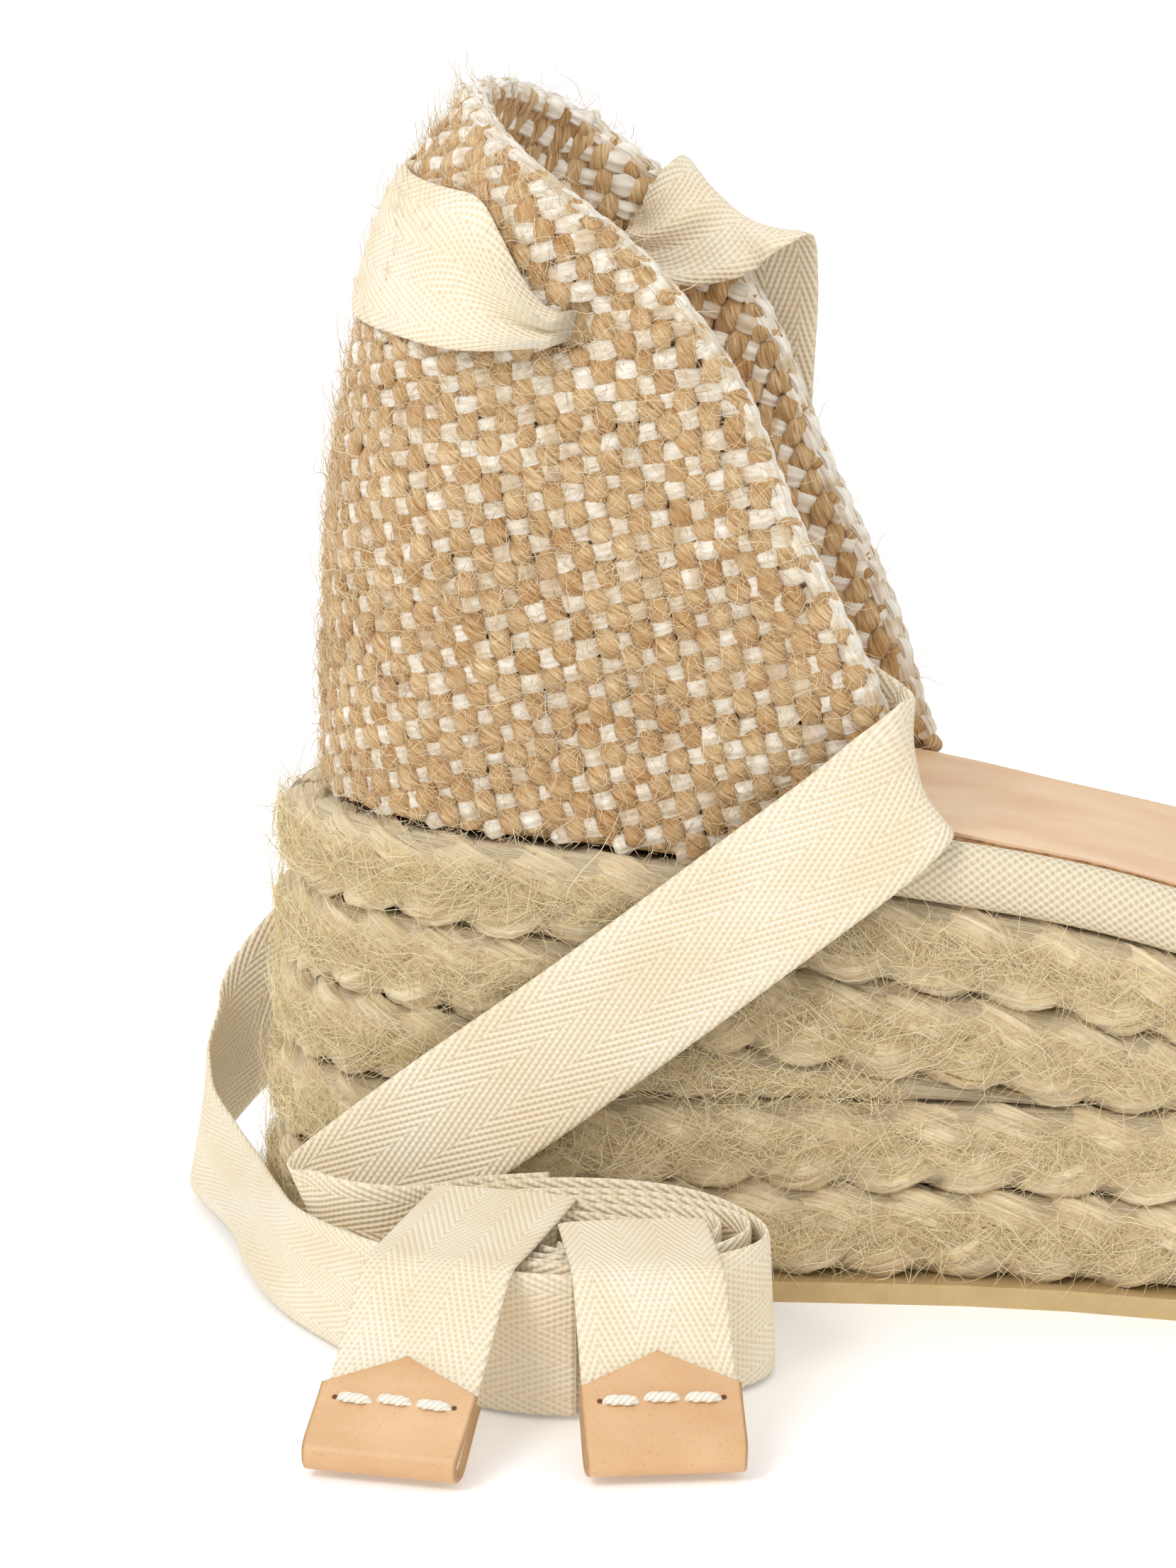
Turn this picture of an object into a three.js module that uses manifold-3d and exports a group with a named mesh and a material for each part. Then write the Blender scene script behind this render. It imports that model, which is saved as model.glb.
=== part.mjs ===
// Espadrille wedge sandal with ankle ties, right foot.
// The toe points along +X, the outer side of the foot is -Y, and the sole stands on z = 0.
// Shoe coordinates measure x forward from the back of the heel; the last lines move the
// origin to the middle of the sole's underside. Lengths are in millimetres.
import * as THREE from "three";
import { mergeVertices } from "three/addons/utils/BufferGeometryUtils.js";
import Module from "manifold-3d";

const wasm = await Module();
wasm.setup();

// ---- Driving dimensions -------------------------------------------------------------

const GAP = 0.3; // clearance between pieces that touch

const SOLE_LENGTH = 246;
const HEEL_WIDTH = 63;
const WAIST_OUTER = 31; // half widths either side of the centre line
const WAIST_INNER = 22;
const BALL_OUTER = 42.5;
const BALL_INNER = 38;

const RUBBER_THICKNESS = 3;
const HEEL_TOP = 65.5; // top of the rope wedge at the back of the heel
const FOREFOOT_TOP = 28; // and under the ball of the foot
const ROPE_LAYERS = 5;
const ROPE_BULGE = 1.2; // how far a braid's middle stands out past its edges
const ROPE_DEPTH = 14; // inner face of every braid, in from the sole's outline
const LAYER_STEP = 0.5; // each layer sits this much further in than the one below
const TAPER_END = 3; // a braid that runs out stops at this thickness

const BOARD_THICKNESS = 2.5;
const FOAM_THICKNESS = 5;
const LEATHER_THICKNESS = 1.2;
const BED_SPREAD = 10; // length over which the footbed widens in front of the counter
const RAND_OUTER = 4.6; // inset of the canvas rand's outer face
const RAND_TO_BED = 0.45; // clearance between the rand and the edge of the footbed
const RAND_TO_COUNTER = 2.5; // along the sole: the rand's ends are cut square to its edge
const RAND_TO_VAMP = 6;

const COUNTER_LENGTH = 94; // back of the heel to the front of the flanks, at the base
const COUNTER_HEIGHT = 99; // rope top to the top edge at the back
const COUNTER_SETBACK = 8.4; // back of the heel to the foot of the counter
const COUNTER_NOSE = 24; // how far forward the rounded back reaches
const COUNTER_BASE_HALF = 25; // half width at the base
const COUNTER_TOP_HALF = 29.5; // half width from mid height up
const CLOTH = 1.5; // one layer of the woven jute cloth
const INTERLINING = 0.5;
const PLY_GAP = 0.45; // between the curved layers of the counter and of the toe strap
const INTERLINING_MARGIN = 1.5;
const SLIT_LENGTH = 12;
const SLIT_WIDTH = 2.4;
const SLIT_FORWARD = 47; // the two tie slits, from the back of the heel
const SLIT_HEIGHT = 73.5; // and above the rope top

const VAMP_LENGTH = 58; // along the sole
const VAMP_TO_TOE = 28; // front edge of the toe strap back from the tip of the sole
const VAMP_INSET = 4.5;
const VAMP_FOOT_LEAD = 2; // its feet clear the rope top found this far behind them
const VAMP_RISE_BACK = 47; // crown of the toe strap above the footbed
const VAMP_RISE_FRONT = 31;

const TAPE_WIDTH = 20;
const TAPE_THICKNESS = 1;
const BUNDLE_LENGTH = 52; // oval coil of spare tape, standing on its edge
const BUNDLE_WIDTH = 41;
const BUNDLE_CENTRE = [52, -59];
const FLOOR_CLEAR = 0.2; // lowest point of the tape and its tips

const TIP_LENGTH = 17; // leather end tip, fold to apex
const TIP_SHOULDER = 12; // fold to the corners where the apex begins
const TIP_WIDTH = 21;
const TIP_LEATHER = 1;
const STITCHES = 3;
const STITCH_LENGTH = 4.2;
const STITCH_PITCH = 5;
const STITCH_THICKNESS = 0.9;
const BEND_CLEAR = 0.9; // bare stretch either side of a bend's hinge line

// ---- Worked-out sizes ---------------------------------------------------------------

const PITCH = (HEEL_TOP - RUBBER_THICKNESS) / ROPE_LAYERS;
const COUNTER_THICKNESS = 2 * CLOTH + INTERLINING + 2 * PLY_GAP;
const VAMP_THICKNESS = 2 * CLOTH + PLY_GAP;
const VAMP_FRONT = SOLE_LENGTH - VAMP_TO_TOE;
const VAMP_BACK = VAMP_FRONT - VAMP_LENGTH;
const BED_INSET = VAMP_INSET + VAMP_THICKNESS + GAP;
const BED_THICKNESS = BOARD_THICKNESS + FOAM_THICKNESS + LEATHER_THICKNESS + 3 * GAP;
const NOSE_ARC = 40; // length of path round a quarter of the counter's nose

const COLOURS = {
  rubber: [0xbeaf82, 0.8],
  core: [0xc9b48c, 0.95],
  jute_rope: [0xc8b991, 0.95],
  board: [0xb39a78, 0.9],
  foam: [0xefe6d2, 0.9],
  leather: [0xebc8a0, 0.55],
  canvas: [0xe4d7af, 0.9],
  jute_cloth: [0xc8a573, 0.95],
  interlining: [0xeee8dc, 0.9],
  tape: [0xf8ecd2, 0.85],
  tip_leather: [0xe6be8c, 0.5],
  thread: [0xf2e8d4, 0.8],
};

// ---- Curves -------------------------------------------------------------------------

const clamp = THREE.MathUtils.clamp;
const lerp = THREE.MathUtils.lerp;
const smoothstep = THREE.MathUtils.smoothstep;

// The value at x of a smooth curve through points [x, value] that never overshoots them.
function curveThrough(points) {
  const slope = points.map((p, i) => {
    if (i === 0 || i === points.length - 1) return 0;
    const before = (p[1] - points[i - 1][1]) / (p[0] - points[i - 1][0]);
    const after = (points[i + 1][1] - p[1]) / (points[i + 1][0] - p[0]);
    return before * after <= 0 ? 0 : (2 * before * after) / (before + after);
  });
  return (x) => {
    const last = points.length - 1;
    if (x <= points[0][0]) return points[0][1];
    if (x >= points[last][0]) return points[last][1];
    const i = points.findIndex((p) => p[0] > x) - 1;
    const [x0, y0] = points[i];
    const [x1, y1] = points[i + 1];
    const t = (x - x0) / (x1 - x0);
    const bend = (x1 - x0) * t * (1 - t);
    const start = bend * (1 - t) * slope[i];
    const end = bend * t * slope[i + 1];
    return lerp(y0, y1, t * t * (3 - 2 * t)) + start - end;
  };
}

// The x between low and high where a falling function reaches a value.
function whereFallsTo(fall, value, low, high) {
  let [a, b] = [low, high];
  for (let i = 0; i < 40; i++) {
    const middle = (a + b) / 2;
    if (fall(middle) > value) a = middle;
    else b = middle;
  }
  return (a + b) / 2;
}

const along = (share) => share * SOLE_LENGTH;
const WEDGE_RUN = HEEL_TOP - FOREFOOT_TOP;

// Top of the rope wedge: high and level under the heel, falling to the ball of the foot.
const ropeTop = curveThrough([
  [0, HEEL_TOP],
  [along(0.146), HEEL_TOP - 0.055 * WEDGE_RUN],
  [along(0.382), HEEL_TOP - 0.245 * WEDGE_RUN],
  [along(0.524), HEEL_TOP - 0.4 * WEDGE_RUN],
  [along(0.65), HEEL_TOP - 0.76 * WEDGE_RUN],
  [along(0.75), FOREFOOT_TOP],
]);

// Outline of the sole from the back of the heel along the outer side, round the toe and
// back along the inner side.
const HEEL_HALF = HEEL_WIDTH / 2;
const OUTER_SIDE = [
  [0, 0],
  [0.033, 0.65 * HEEL_HALF],
  [0.122, HEEL_HALF],
  [0.28, HEEL_HALF],
  [0.45, WAIST_OUTER],
  [0.61, lerp(WAIST_OUTER, BALL_OUTER, 0.57)],
  [0.73, BALL_OUTER],
  [0.86, 0.87 * BALL_OUTER],
  [0.967, 0.42 * BALL_OUTER],
];
const INNER_SIDE = [
  [1, -2],
  [0.976, 0.58 * BALL_INNER],
  [0.874, 0.95 * BALL_INNER],
  [0.73, BALL_INNER],
  [0.61, lerp(WAIST_INNER, BALL_INNER, 0.5)],
  [0.51, WAIST_INNER],
  [0.38, lerp(WAIST_INNER, HEEL_HALF, 0.68)],
  [0.25, 0.98 * HEEL_HALF],
  [0.122, HEEL_HALF],
  [0.033, 0.65 * HEEL_HALF],
];
const outline = new THREE.CatmullRomCurve3(
  [
    ...OUTER_SIDE.map(([x, y]) => new THREE.Vector3(along(x), -y, 0)),
    ...INNER_SIDE.map(([x, y]) => new THREE.Vector3(along(x), y < 0 ? -y : y, 0)),
  ],
  true,
  "centripetal",
);
const TOE_AT = OUTER_SIDE.length / (OUTER_SIDE.length + INNER_SIDE.length);

// The outline's point at distance x from the heel, with its inward normal.
function rimPoint(side, x) {
  const t =
    side === "outer"
      ? whereFallsTo((u) => -outline.getPoint(u).x, -x, 0, TOE_AT)
      : whereFallsTo((u) => outline.getPoint(u).x, x, TOE_AT, 1);
  const at = outline.getPoint(t);
  const run = outline.getTangent(t);
  return { x: at.x, y: at.y, nx: -run.y, ny: run.x };
}

// Distances bunched towards both ends of a stretch, none of them on its very ends.
const bunched = (from, to, count) =>
  Array.from({ length: count }, (_, i) => {
    const turn = (Math.PI * (i + 0.5)) / count;
    return lerp(from, to, (1 - Math.cos(turn)) / 2);
  });
const evenly = (from, to, count) =>
  Array.from({ length: count }, (_, i) => lerp(from, to, i / (count - 1)));

// Paths of rim points: right round, or the parts of that path along one side, round the
// heel or round the toe. They share their stations, so that nested pieces lie parallel.
const SIDE_STEPS = 26;
const STATIONS = bunched(0, SOLE_LENGTH, SIDE_STEPS);
const between = (from, to) => [from, ...STATIONS.filter((x) => x > from && x < to), to];
const side = (name, stations) => stations.map((x) => rimPoint(name, x));
const allRound = () => [
  ...side("outer", STATIONS),
  ...side("inner", [...STATIONS].reverse()),
];
const alongSide = (name, from, to) => side(name, between(from, to));
const roundHeel = (reach) => {
  const stations = between(0, reach).slice(1);
  return [...side("outer", [...stations].reverse()), ...side("inner", stations)];
};
const roundToe = (start) => {
  const stations = between(start, SOLE_LENGTH).slice(0, -1);
  return [...side("outer", stations), ...side("inner", [...stations].reverse())];
};

// ---- Solids -------------------------------------------------------------------------

// A closed geometry from rings of points, each ring joined to the next. An open run is
// closed at both ends by strips between each ring's first half and its second half.
function loft(rings, closed = false) {
  const size = rings[0].length;
  const faces = [];
  const spans = closed ? rings.length : rings.length - 1;
  for (let r = 0; r < spans; r++) {
    const here = r * size;
    const next = ((r + 1) % rings.length) * size;
    for (let i = 0; i < size; i++) {
      const j = (i + 1) % size;
      faces.push([here + i, here + j, next + j], [here + i, next + j, next + i]);
    }
  }
  if (!closed) {
    const last = (rings.length - 1) * size;
    for (let i = 0; i < size / 2 - 1; i++) {
      const [a, b, c, d] = [i, i + 1, size - 2 - i, size - 1 - i];
      faces.push([a, c, b], [a, d, c]);
      faces.push([last + a, last + b, last + c], [last + a, last + c, last + d]);
    }
  }
  return facingOut(rings.flat(), faces);
}

// A geometry from points and triangles, turned so that its faces point outwards.
function facingOut(points, faces) {
  const cross = new THREE.Vector3();
  const volume = faces.reduce((sum, [a, b, c]) => {
    return sum + points[a].dot(cross.crossVectors(points[b], points[c]));
  }, 0);
  const index = volume < 0 ? faces.flatMap(([a, b, c]) => [a, c, b]) : faces.flat();
  return new THREE.BufferGeometry().setFromPoints(points).setIndex(index);
}

// Manifold-3d solids, for the cuts.
function toSolid(geometry) {
  const bare = geometry.clone();
  bare.deleteAttribute("normal");
  bare.deleteAttribute("uv");
  const merged = mergeVertices(bare, 1e-4);
  return new wasm.Manifold(
    new wasm.Mesh({
      numProp: 3,
      vertProperties: new Float32Array(merged.attributes.position.array),
      triVerts: new Uint32Array(merged.index.array),
    }),
  );
}

function cut(geometry, ...tools) {
  const left = tools.reduce((solid, tool) => solid.subtract(toSolid(tool)), toSolid(geometry));
  const { vertProperties, triVerts } = left.getMesh();
  return new THREE.BufferGeometry()
    .setAttribute("position", new THREE.BufferAttribute(vertProperties, 3))
    .setIndex(new THREE.BufferAttribute(triVerts, 1));
}

// A ring of points across a rim point: pairs of an inset and a height, which may be a
// function of the distance from the heel.
const acrossRim = (rim, section) =>
  section.map(([inset, height]) => {
    const x = rim.x + rim.nx * inset;
    const y = rim.y + rim.ny * inset;
    return new THREE.Vector3(x, y, typeof height === "function" ? height(x) : height);
  });

const sweepRim = (path, section, closed = false) =>
  loft(path.map((rim) => acrossRim(rim, section(rim))), closed);

// A plate inside a path of points, between two heights.
function slab(path, low, high) {
  const ring = (height) => path.map(({ x, y }) => new THREE.Vector3(x, y, height(x)));
  return loft([ring(low), ring(high)]);
}

const insetPath = (path, inset) => path.map((rim) => acrossRim(rim, [[inset, 0]])[0]);

const box = (width, depth, height, x, y, z) =>
  new THREE.BoxGeometry(width, depth, height).translate(x, y, z);

const raised = (height, by) => (x) => height(x) + by;

// ---- Sole ---------------------------------------------------------------------------

const firstTop = RUBBER_THICKNESS + PITCH;
const middle = (x) => ropeTop(x) - PITCH - firstTop;
const fullRound = () => PITCH;

// Thickness of each braid from the ground up. The third runs out first, then the fourth,
// then the second; the first and the top one go all the way round.
const LAYER_THICKNESS = [
  fullRound,
  (x) => clamp(middle(x), 0, PITCH),
  (x) => clamp(middle(x) - 2 * PITCH, 0, PITCH),
  (x) => clamp(middle(x) - PITCH, 0, PITCH),
  fullRound,
];

const topOfLayer = (count) => (x) =>
  LAYER_THICKNESS.slice(0, count).reduce((sum, thickness) => sum + thickness(x), RUBBER_THICKNESS);

const outsole = () => slab(allRound(), () => 0, () => RUBBER_THICKNESS);

const wedgeCore = () =>
  slab(insetPath(allRound(), ROPE_DEPTH + GAP), () => RUBBER_THICKNESS + GAP, ropeTop);

function ropeLayer(index) {
  const low = raised(topOfLayer(index), GAP);
  const high = topOfLayer(index + 1);
  const at = (share) => (x) => lerp(low(x), high(x), share);
  const outer = index * LAYER_STEP;
  const section = () => [
    [outer + ROPE_BULGE, low],
    [outer, at(0.3)],
    [outer, at(0.7)],
    [outer + ROPE_BULGE, high],
    [ROPE_DEPTH, high],
    [ROPE_DEPTH, low],
  ];
  const thickness = LAYER_THICKNESS[index];
  if (thickness === fullRound) return sweepRim(allRound(), section, true);
  const reach = whereFallsTo(thickness, TAPER_END, 0, SOLE_LENGTH);
  return sweepRim(roundHeel(reach), section);
}

// ---- Heel counter -------------------------------------------------------------------

// Back line, half width and top edge of the counter, by height above its base.
const counterBase = HEEL_TOP;
const up = (share) => counterBase + share * COUNTER_HEIGHT;
const backLine = curveThrough([
  [up(0), COUNTER_SETBACK],
  [up(0.35), COUNTER_SETBACK + 0.8],
  [up(0.67), COUNTER_SETBACK + 5.6],
  [up(0.84), COUNTER_SETBACK + 10.7],
  [up(1.03), COUNTER_SETBACK + 21.6],
]);
const halfWidth = (z) =>
  lerp(COUNTER_BASE_HALF, COUNTER_TOP_HALF, smoothstep(z, up(0), up(0.55)));

const TOPLINE_RUN = COUNTER_LENGTH - COUNTER_SETBACK;
const back = (share) => COUNTER_SETBACK + share * TOPLINE_RUN;
const topline = curveThrough([
  [back(0.2), up(1)],
  [back(0.38), up(0.935)],
  [back(0.556), up(0.813)],
  [back(0.696), up(0.65)],
  [back(0.79), up(0.45)],
  [back(0.906), up(0.232)],
  [back(1), up(0.02)],
]);

// A point of the counter: around is the distance from the back along the wall, negative
// on the outer side, and depth is measured inwards from the outer face.
function counterPoint(around, z, depth) {
  const distance = Math.abs(around);
  const sign = Math.sign(around);
  const nose = COUNTER_NOSE - depth;
  const half = halfWidth(z) - depth;
  const start = backLine(z) + depth;
  if (distance >= NOSE_ARC) {
    return new THREE.Vector3(start + nose + distance - NOSE_ARC, sign * half, z);
  }
  const turn = ((Math.PI / 2) * distance) / NOSE_ARC;
  return new THREE.Vector3(start + nose * (1 - Math.cos(turn)), sign * half * Math.sin(turn), z);
}

const FLANK = COUNTER_LENGTH - COUNTER_SETBACK - COUNTER_NOSE;
const WALL_REACH = NOSE_ARC + FLANK;
const COUNTER_ROWS = 7;
const COUNTER_COLUMNS = 24;

const topAt = (around) =>
  whereFallsTo((z) => topline(counterPoint(around, z, 0).x) - z, 0, up(-0.2), up(1.2));

// Even steps whose first and last are moved in by a margin. The layers share the steps
// between, so that they lie parallel.
function trimmed(from, to, count, margin) {
  const steps = evenly(from, to, count);
  return [from + margin, ...steps.slice(1, -1), to - margin];
}

// One layer of the counter between two depths, short of its edges by a margin.
function counterLayer(outer, inner, margin) {
  const columns = trimmed(-WALL_REACH, WALL_REACH, COUNTER_COLUMNS, margin).map((around) => {
    const foot = ropeTop(counterPoint(around, up(0), 0).x) + GAP;
    const rows = trimmed(foot, topAt(around), COUNTER_ROWS, margin);
    const face = (depth) => rows.map((z) => counterPoint(around, z, depth));
    return [...face(outer), ...face(inner).reverse()];
  });
  const slitCentre = HEEL_TOP + SLIT_HEIGHT;
  const slits = [-1, 1].map((sign) =>
    box(SLIT_WIDTH, 16, SLIT_LENGTH, SLIT_FORWARD, sign * (COUNTER_TOP_HALF - 2), slitCentre),
  );
  return cut(loft(columns), ...slits);
}

const liningDepth = COUNTER_THICKNESS - CLOTH;
const counterOuter = () => counterLayer(0, CLOTH, 0);
const counterInterlining = () =>
  counterLayer(CLOTH + PLY_GAP, CLOTH + PLY_GAP + INTERLINING, INTERLINING_MARGIN);
const counterLining = () => counterLayer(liningDepth, COUNTER_THICKNESS, 0);

// ---- Footbed and rand ---------------------------------------------------------------

// The footbed fits inside the counter at the heel, where it shares the counter's steps,
// then follows the sole's outline.
function bedPath() {
  const stations = between(COUNTER_LENGTH + BED_SPREAD, SOLE_LENGTH).slice(0, -1);
  const wallSteps = evenly(-WALL_REACH, WALL_REACH, COUNTER_COLUMNS).filter((step) => step > 0);
  const half = (name, sign) => [
    ...wallSteps.map((around) => {
      const wall = counterPoint(sign * around, up(0), COUNTER_THICKNESS + GAP);
      const rope = Math.abs(rimPoint(name, wall.x).y) - BED_INSET;
      return around < NOSE_ARC ? wall : wall.setY(sign * Math.min(Math.abs(wall.y), rope));
    }),
    ...insetPath(side(name, stations), BED_INSET),
  ];
  return [...half("outer", -1), ...half("inner", 1).reverse()];
}

const boardLow = raised(ropeTop, GAP);
const foamLow = raised(boardLow, BOARD_THICKNESS + GAP);
const leatherLow = raised(foamLow, FOAM_THICKNESS + GAP);
const bedTop = raised(leatherLow, LEATHER_THICKNESS);

const insoleBoard = () => slab(bedPath(), boardLow, raised(boardLow, BOARD_THICKNESS));
const footbedFoam = () => slab(bedPath(), foamLow, raised(foamLow, FOAM_THICKNESS));
const leatherFootbed = () => slab(bedPath(), leatherLow, bedTop);

// A padded canvas strip that fills the step from the rope top to the leather.
function canvasRand(path) {
  const inner = BED_INSET - RAND_TO_BED;
  return sweepRim(path, () => [
    [RAND_OUTER + 0.4, raised(ropeTop, GAP)],
    [RAND_OUTER - 0.4, raised(ropeTop, 0.35 * BED_THICKNESS)],
    [RAND_OUTER, raised(ropeTop, 0.7 * BED_THICKNESS)],
    [RAND_OUTER + 1.2, leatherLow],
    [inner, leatherLow],
    [inner, raised(ropeTop, GAP)],
  ]);
}

const RAND_START = COUNTER_LENGTH + RAND_TO_COUNTER;
const RAND_STOP = VAMP_BACK - RAND_TO_VAMP;
const TOE_RAND_START = VAMP_FRONT + RAND_TO_VAMP;

// ---- Toe strap ----------------------------------------------------------------------

const VAMP_ARC = 14;

function vampLayer(outer, inner) {
  const rings = between(VAMP_BACK, VAMP_FRONT).map((x) => {
    const share = (x - VAMP_BACK) / (VAMP_FRONT - VAMP_BACK);
    const rise = lerp(VAMP_RISE_BACK, VAMP_RISE_FRONT, share);
    const [near, far] = ["outer", "inner"].map((name) => rimPoint(name, x).y);
    const centre = (near + far) / 2;
    const spring = bedTop(x) + GAP;
    const arch = (depth) => {
      const half = (far - near) / 2 - VAMP_INSET - depth;
      const ground = ropeTop(x - VAMP_FOOT_LEAD) + GAP;
      const foot = (sign) => new THREE.Vector3(x, centre + sign * half, ground);
      const arc = evenly(0, Math.PI, VAMP_ARC).map((turn) => {
        const height = (rise - depth) * Math.sin(turn);
        return new THREE.Vector3(x, centre - half * Math.cos(turn), spring + height);
      });
      return [foot(-1), ...arc, foot(1)];
    };
    return [...arch(outer), ...arch(inner).reverse()];
  });
  return loft(rings);
}

const vampOuter = () => vampLayer(0, CLOTH);
const vampLining = () => vampLayer(CLOTH + PLY_GAP, VAMP_THICKNESS);

// ---- Ankle tape ---------------------------------------------------------------------

// Tape runs, by hand: centre [x, y, z], the direction across the tape, and its width
// there, which is less than the full width where it is gathered.
const NEAR_INNER_RUN = [
  [[49.5, -23.8, 138], [0, 0, 1], 8],
  [[53.5, -23.7, 127], [0.5, 0, 0.87], 13],
  [[60, -22.9, 112], [0.7, 0, 0.71], 18],
  [[69, -21.3, 95.5], [0.75, 0, 0.66], 20],
  [[77.5, -19.6, 84], [0.78, 0, 0.62], 18],
];
const NEAR_FALL_RUN = [
  [[93.5, -29.4, 75], [-0.3, 0, 0.95], 20],
  [[88, -31.4, 69.4], [-0.42, 0.06, 0.9], 20],
  [[74, -33.4, 59], [-0.55, 0.08, 0.83], 20],
  [[51, -34.2, 41], [-0.58, 0.08, 0.81], 20],
  [[30, -35.4, 25.5], [-0.58, 0.08, 0.81], 20],
  [[18, -37.2, 17], [-0.5, 0.08, 0.86], 19],
  [[12.2, -40.5, 13.4], [-0.2, 0.05, 0.97], 18],
  [[13.5, -45, 12.4], [0, 0, 1], 18],
  [[20, -48.5, 12.2], [0, 0, 1], 18],
];
const FAR_INNER_RUN = [
  [[50, 23.8, 140], [0, 0, 1], 8],
  [[55, 23.8, 140], [-0.1, 0, 1], 12],
  [[59, 23.8, 136.5], [0.2, 0, 0.97], 13],
];
const FAR_FALL_RUN = [
  [[69.3, 32.8, 131], [0.85, 0, 0.53], 13],
  [[67.5, 34, 121], [1, 0, 0.1], 17],
  [[64, 35, 104], [0.97, 0.03, -0.2], 20],
  [[56, 36, 82], [0.88, 0.05, -0.45], 20],
  [[44, 37.2, 63], [0.72, 0.06, -0.68], 20],
  [[28, 38.4, 48], [0.55, 0.1, -0.83], 20],
  [[12, 32, 36], [0.3, 0.2, -0.93], 20],
];
const HEEL_LOOP_RUN = [
  [[9.5, 30, 34.6], [0.3, 0.2, -0.93], 20],
  [[-2, 18, 28.5], [0.12, 0.1, -0.98], 20],
  [[-8.5, 2, 23], [0, 0, -1], 20],
  [[-6.5, -16, 18], [-0.1, 0, -1], 20],
  [[1, -37, 13.2], [-0.1, -0.05, -1], 20],
  [[11, -52.5, 10.8], [0, 0, -1], 20],
  [[22, -64, 10.4], [0, 0, -1], 20],
];

// A strip of tape along a run of centres, directions across and widths.
function ribbon(run, steps) {
  const through = (pick) =>
    new THREE.CatmullRomCurve3(run.map((stop) => new THREE.Vector3(...pick(stop))));
  const centres = through(([centre]) => centre);
  const across = through(([, direction]) => direction);
  const widths = through(([, , width]) => [width, 0, 0]);
  const rings = evenly(0, 1, steps).map((t) => {
    const middle = centres.getPoint(t);
    const run = centres.getTangent(t);
    const sideways = across.getPoint(t).addScaledVector(run, -run.dot(across.getPoint(t)));
    sideways.setLength(widths.getPoint(t).x / 2);
    const thick = new THREE.Vector3().crossVectors(run, sideways);
    thick.setLength(TAPE_THICKNESS / 2);
    const corner = (a, b) =>
      middle.clone().addScaledVector(sideways, a).addScaledVector(thick, b);
    return [corner(-1, -1), corner(1, -1), corner(1, 1), corner(-1, 1)];
  });
  return loft(rings);
}

// The band round the back of the counter, from slit to slit, gathered at each end.
function backWrap() {
  const slitHeight = HEEL_TOP + SLIT_HEIGHT;
  const slitAround = NOSE_ARC + SLIT_FORWARD - backLine(slitHeight) - COUNTER_NOSE;
  const reach = slitAround - SLIT_WIDTH / 2;
  const rings = evenly(-1, 1, 19).map((t) => {
    const gather = smoothstep(Math.abs(t), 0.55, 1);
    const half = lerp(TAPE_WIDTH / 2, SLIT_LENGTH / 2 - 1.5, gather);
    const centre = slitHeight + lerp(4.5, 0, gather);
    const rows = evenly(centre - half, centre + half, 5);
    const face = (depth) => rows.map((z) => counterPoint(t * reach, z, -depth));
    return [...face(GAP), ...face(GAP + TAPE_THICKNESS).reverse()];
  });
  return loft(rings);
}

// The coil of spare tape as one solid of its outer shape.
function bundle() {
  const [x, y] = BUNDLE_CENTRE;
  const oval = new THREE.Shape();
  oval.absellipse(x, y, BUNDLE_LENGTH / 2, BUNDLE_WIDTH / 2, 0, 2 * Math.PI);
  const settings = { depth: TAPE_WIDTH, bevelEnabled: false, curveSegments: 16 };
  return new THREE.ExtrudeGeometry(oval, settings).translate(0, 0, FLOOR_CLEAR);
}

// ---- Tape ends with leather tips ----------------------------------------------------

// Each end is built with its bend at the origin, running outwards along -Y to the fold of
// its tip, and is then sloped and turned into place by its group.
const TIP_THICKNESS = 2 * TIP_LEATHER + TAPE_THICKNESS + 2 * GAP;

function endTape(fold) {
  const stop = fold + TIP_LEATHER + GAP;
  return box(TAPE_WIDTH, -BEND_CLEAR - stop, TAPE_THICKNESS, 0, (stop - BEND_CLEAR) / 2, 0);
}

// Leather folded round the tape's end and cut to a point on both faces.
function endTip(fold) {
  const half = TIP_WIDTH / 2;
  const house = new THREE.Shape([
    new THREE.Vector2(-half, fold),
    new THREE.Vector2(half, fold),
    new THREE.Vector2(half, fold + TIP_SHOULDER),
    new THREE.Vector2(0, fold + TIP_LENGTH),
    new THREE.Vector2(-half, fold + TIP_SHOULDER),
  ]);
  const settings = { depth: TIP_THICKNESS, bevelEnabled: false };
  const folded = new THREE.ExtrudeGeometry(house, settings).translate(0, 0, -TIP_THICKNESS / 2);
  const slot = TIP_THICKNESS - 2 * TIP_LEATHER;
  const start = fold + TIP_LEATHER;
  return cut(folded, box(TIP_WIDTH + 2, TIP_LENGTH, slot, 0, start + TIP_LENGTH / 2, 0));
}

function endStitch(fold, index) {
  const x = (index - (STITCHES - 1) / 2) * STITCH_PITCH;
  const length = STITCH_LENGTH - STITCH_THICKNESS;
  return new THREE.CapsuleGeometry(STITCH_THICKNESS / 2, length, 3, 8)
    .rotateZ(Math.PI / 2)
    .translate(x, fold + 0.8 * TIP_SHOULDER, TIP_THICKNESS / 2 + STITCH_THICKNESS / 2 + GAP);
}

// The stretch of tape that lies over the bundle, behind the bend.
const overTape = (length) =>
  box(TAPE_WIDTH, length, TAPE_THICKNESS, 0, BEND_CLEAR + length / 2, 0);

// ---- Assembly -----------------------------------------------------------------------

const materials = Object.fromEntries(
  Object.entries(COLOURS).map(([name, [color, roughness]]) => [
    name,
    new THREE.MeshStandardMaterial({ name, color, roughness, metalness: 0 }),
  ]),
);

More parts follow.
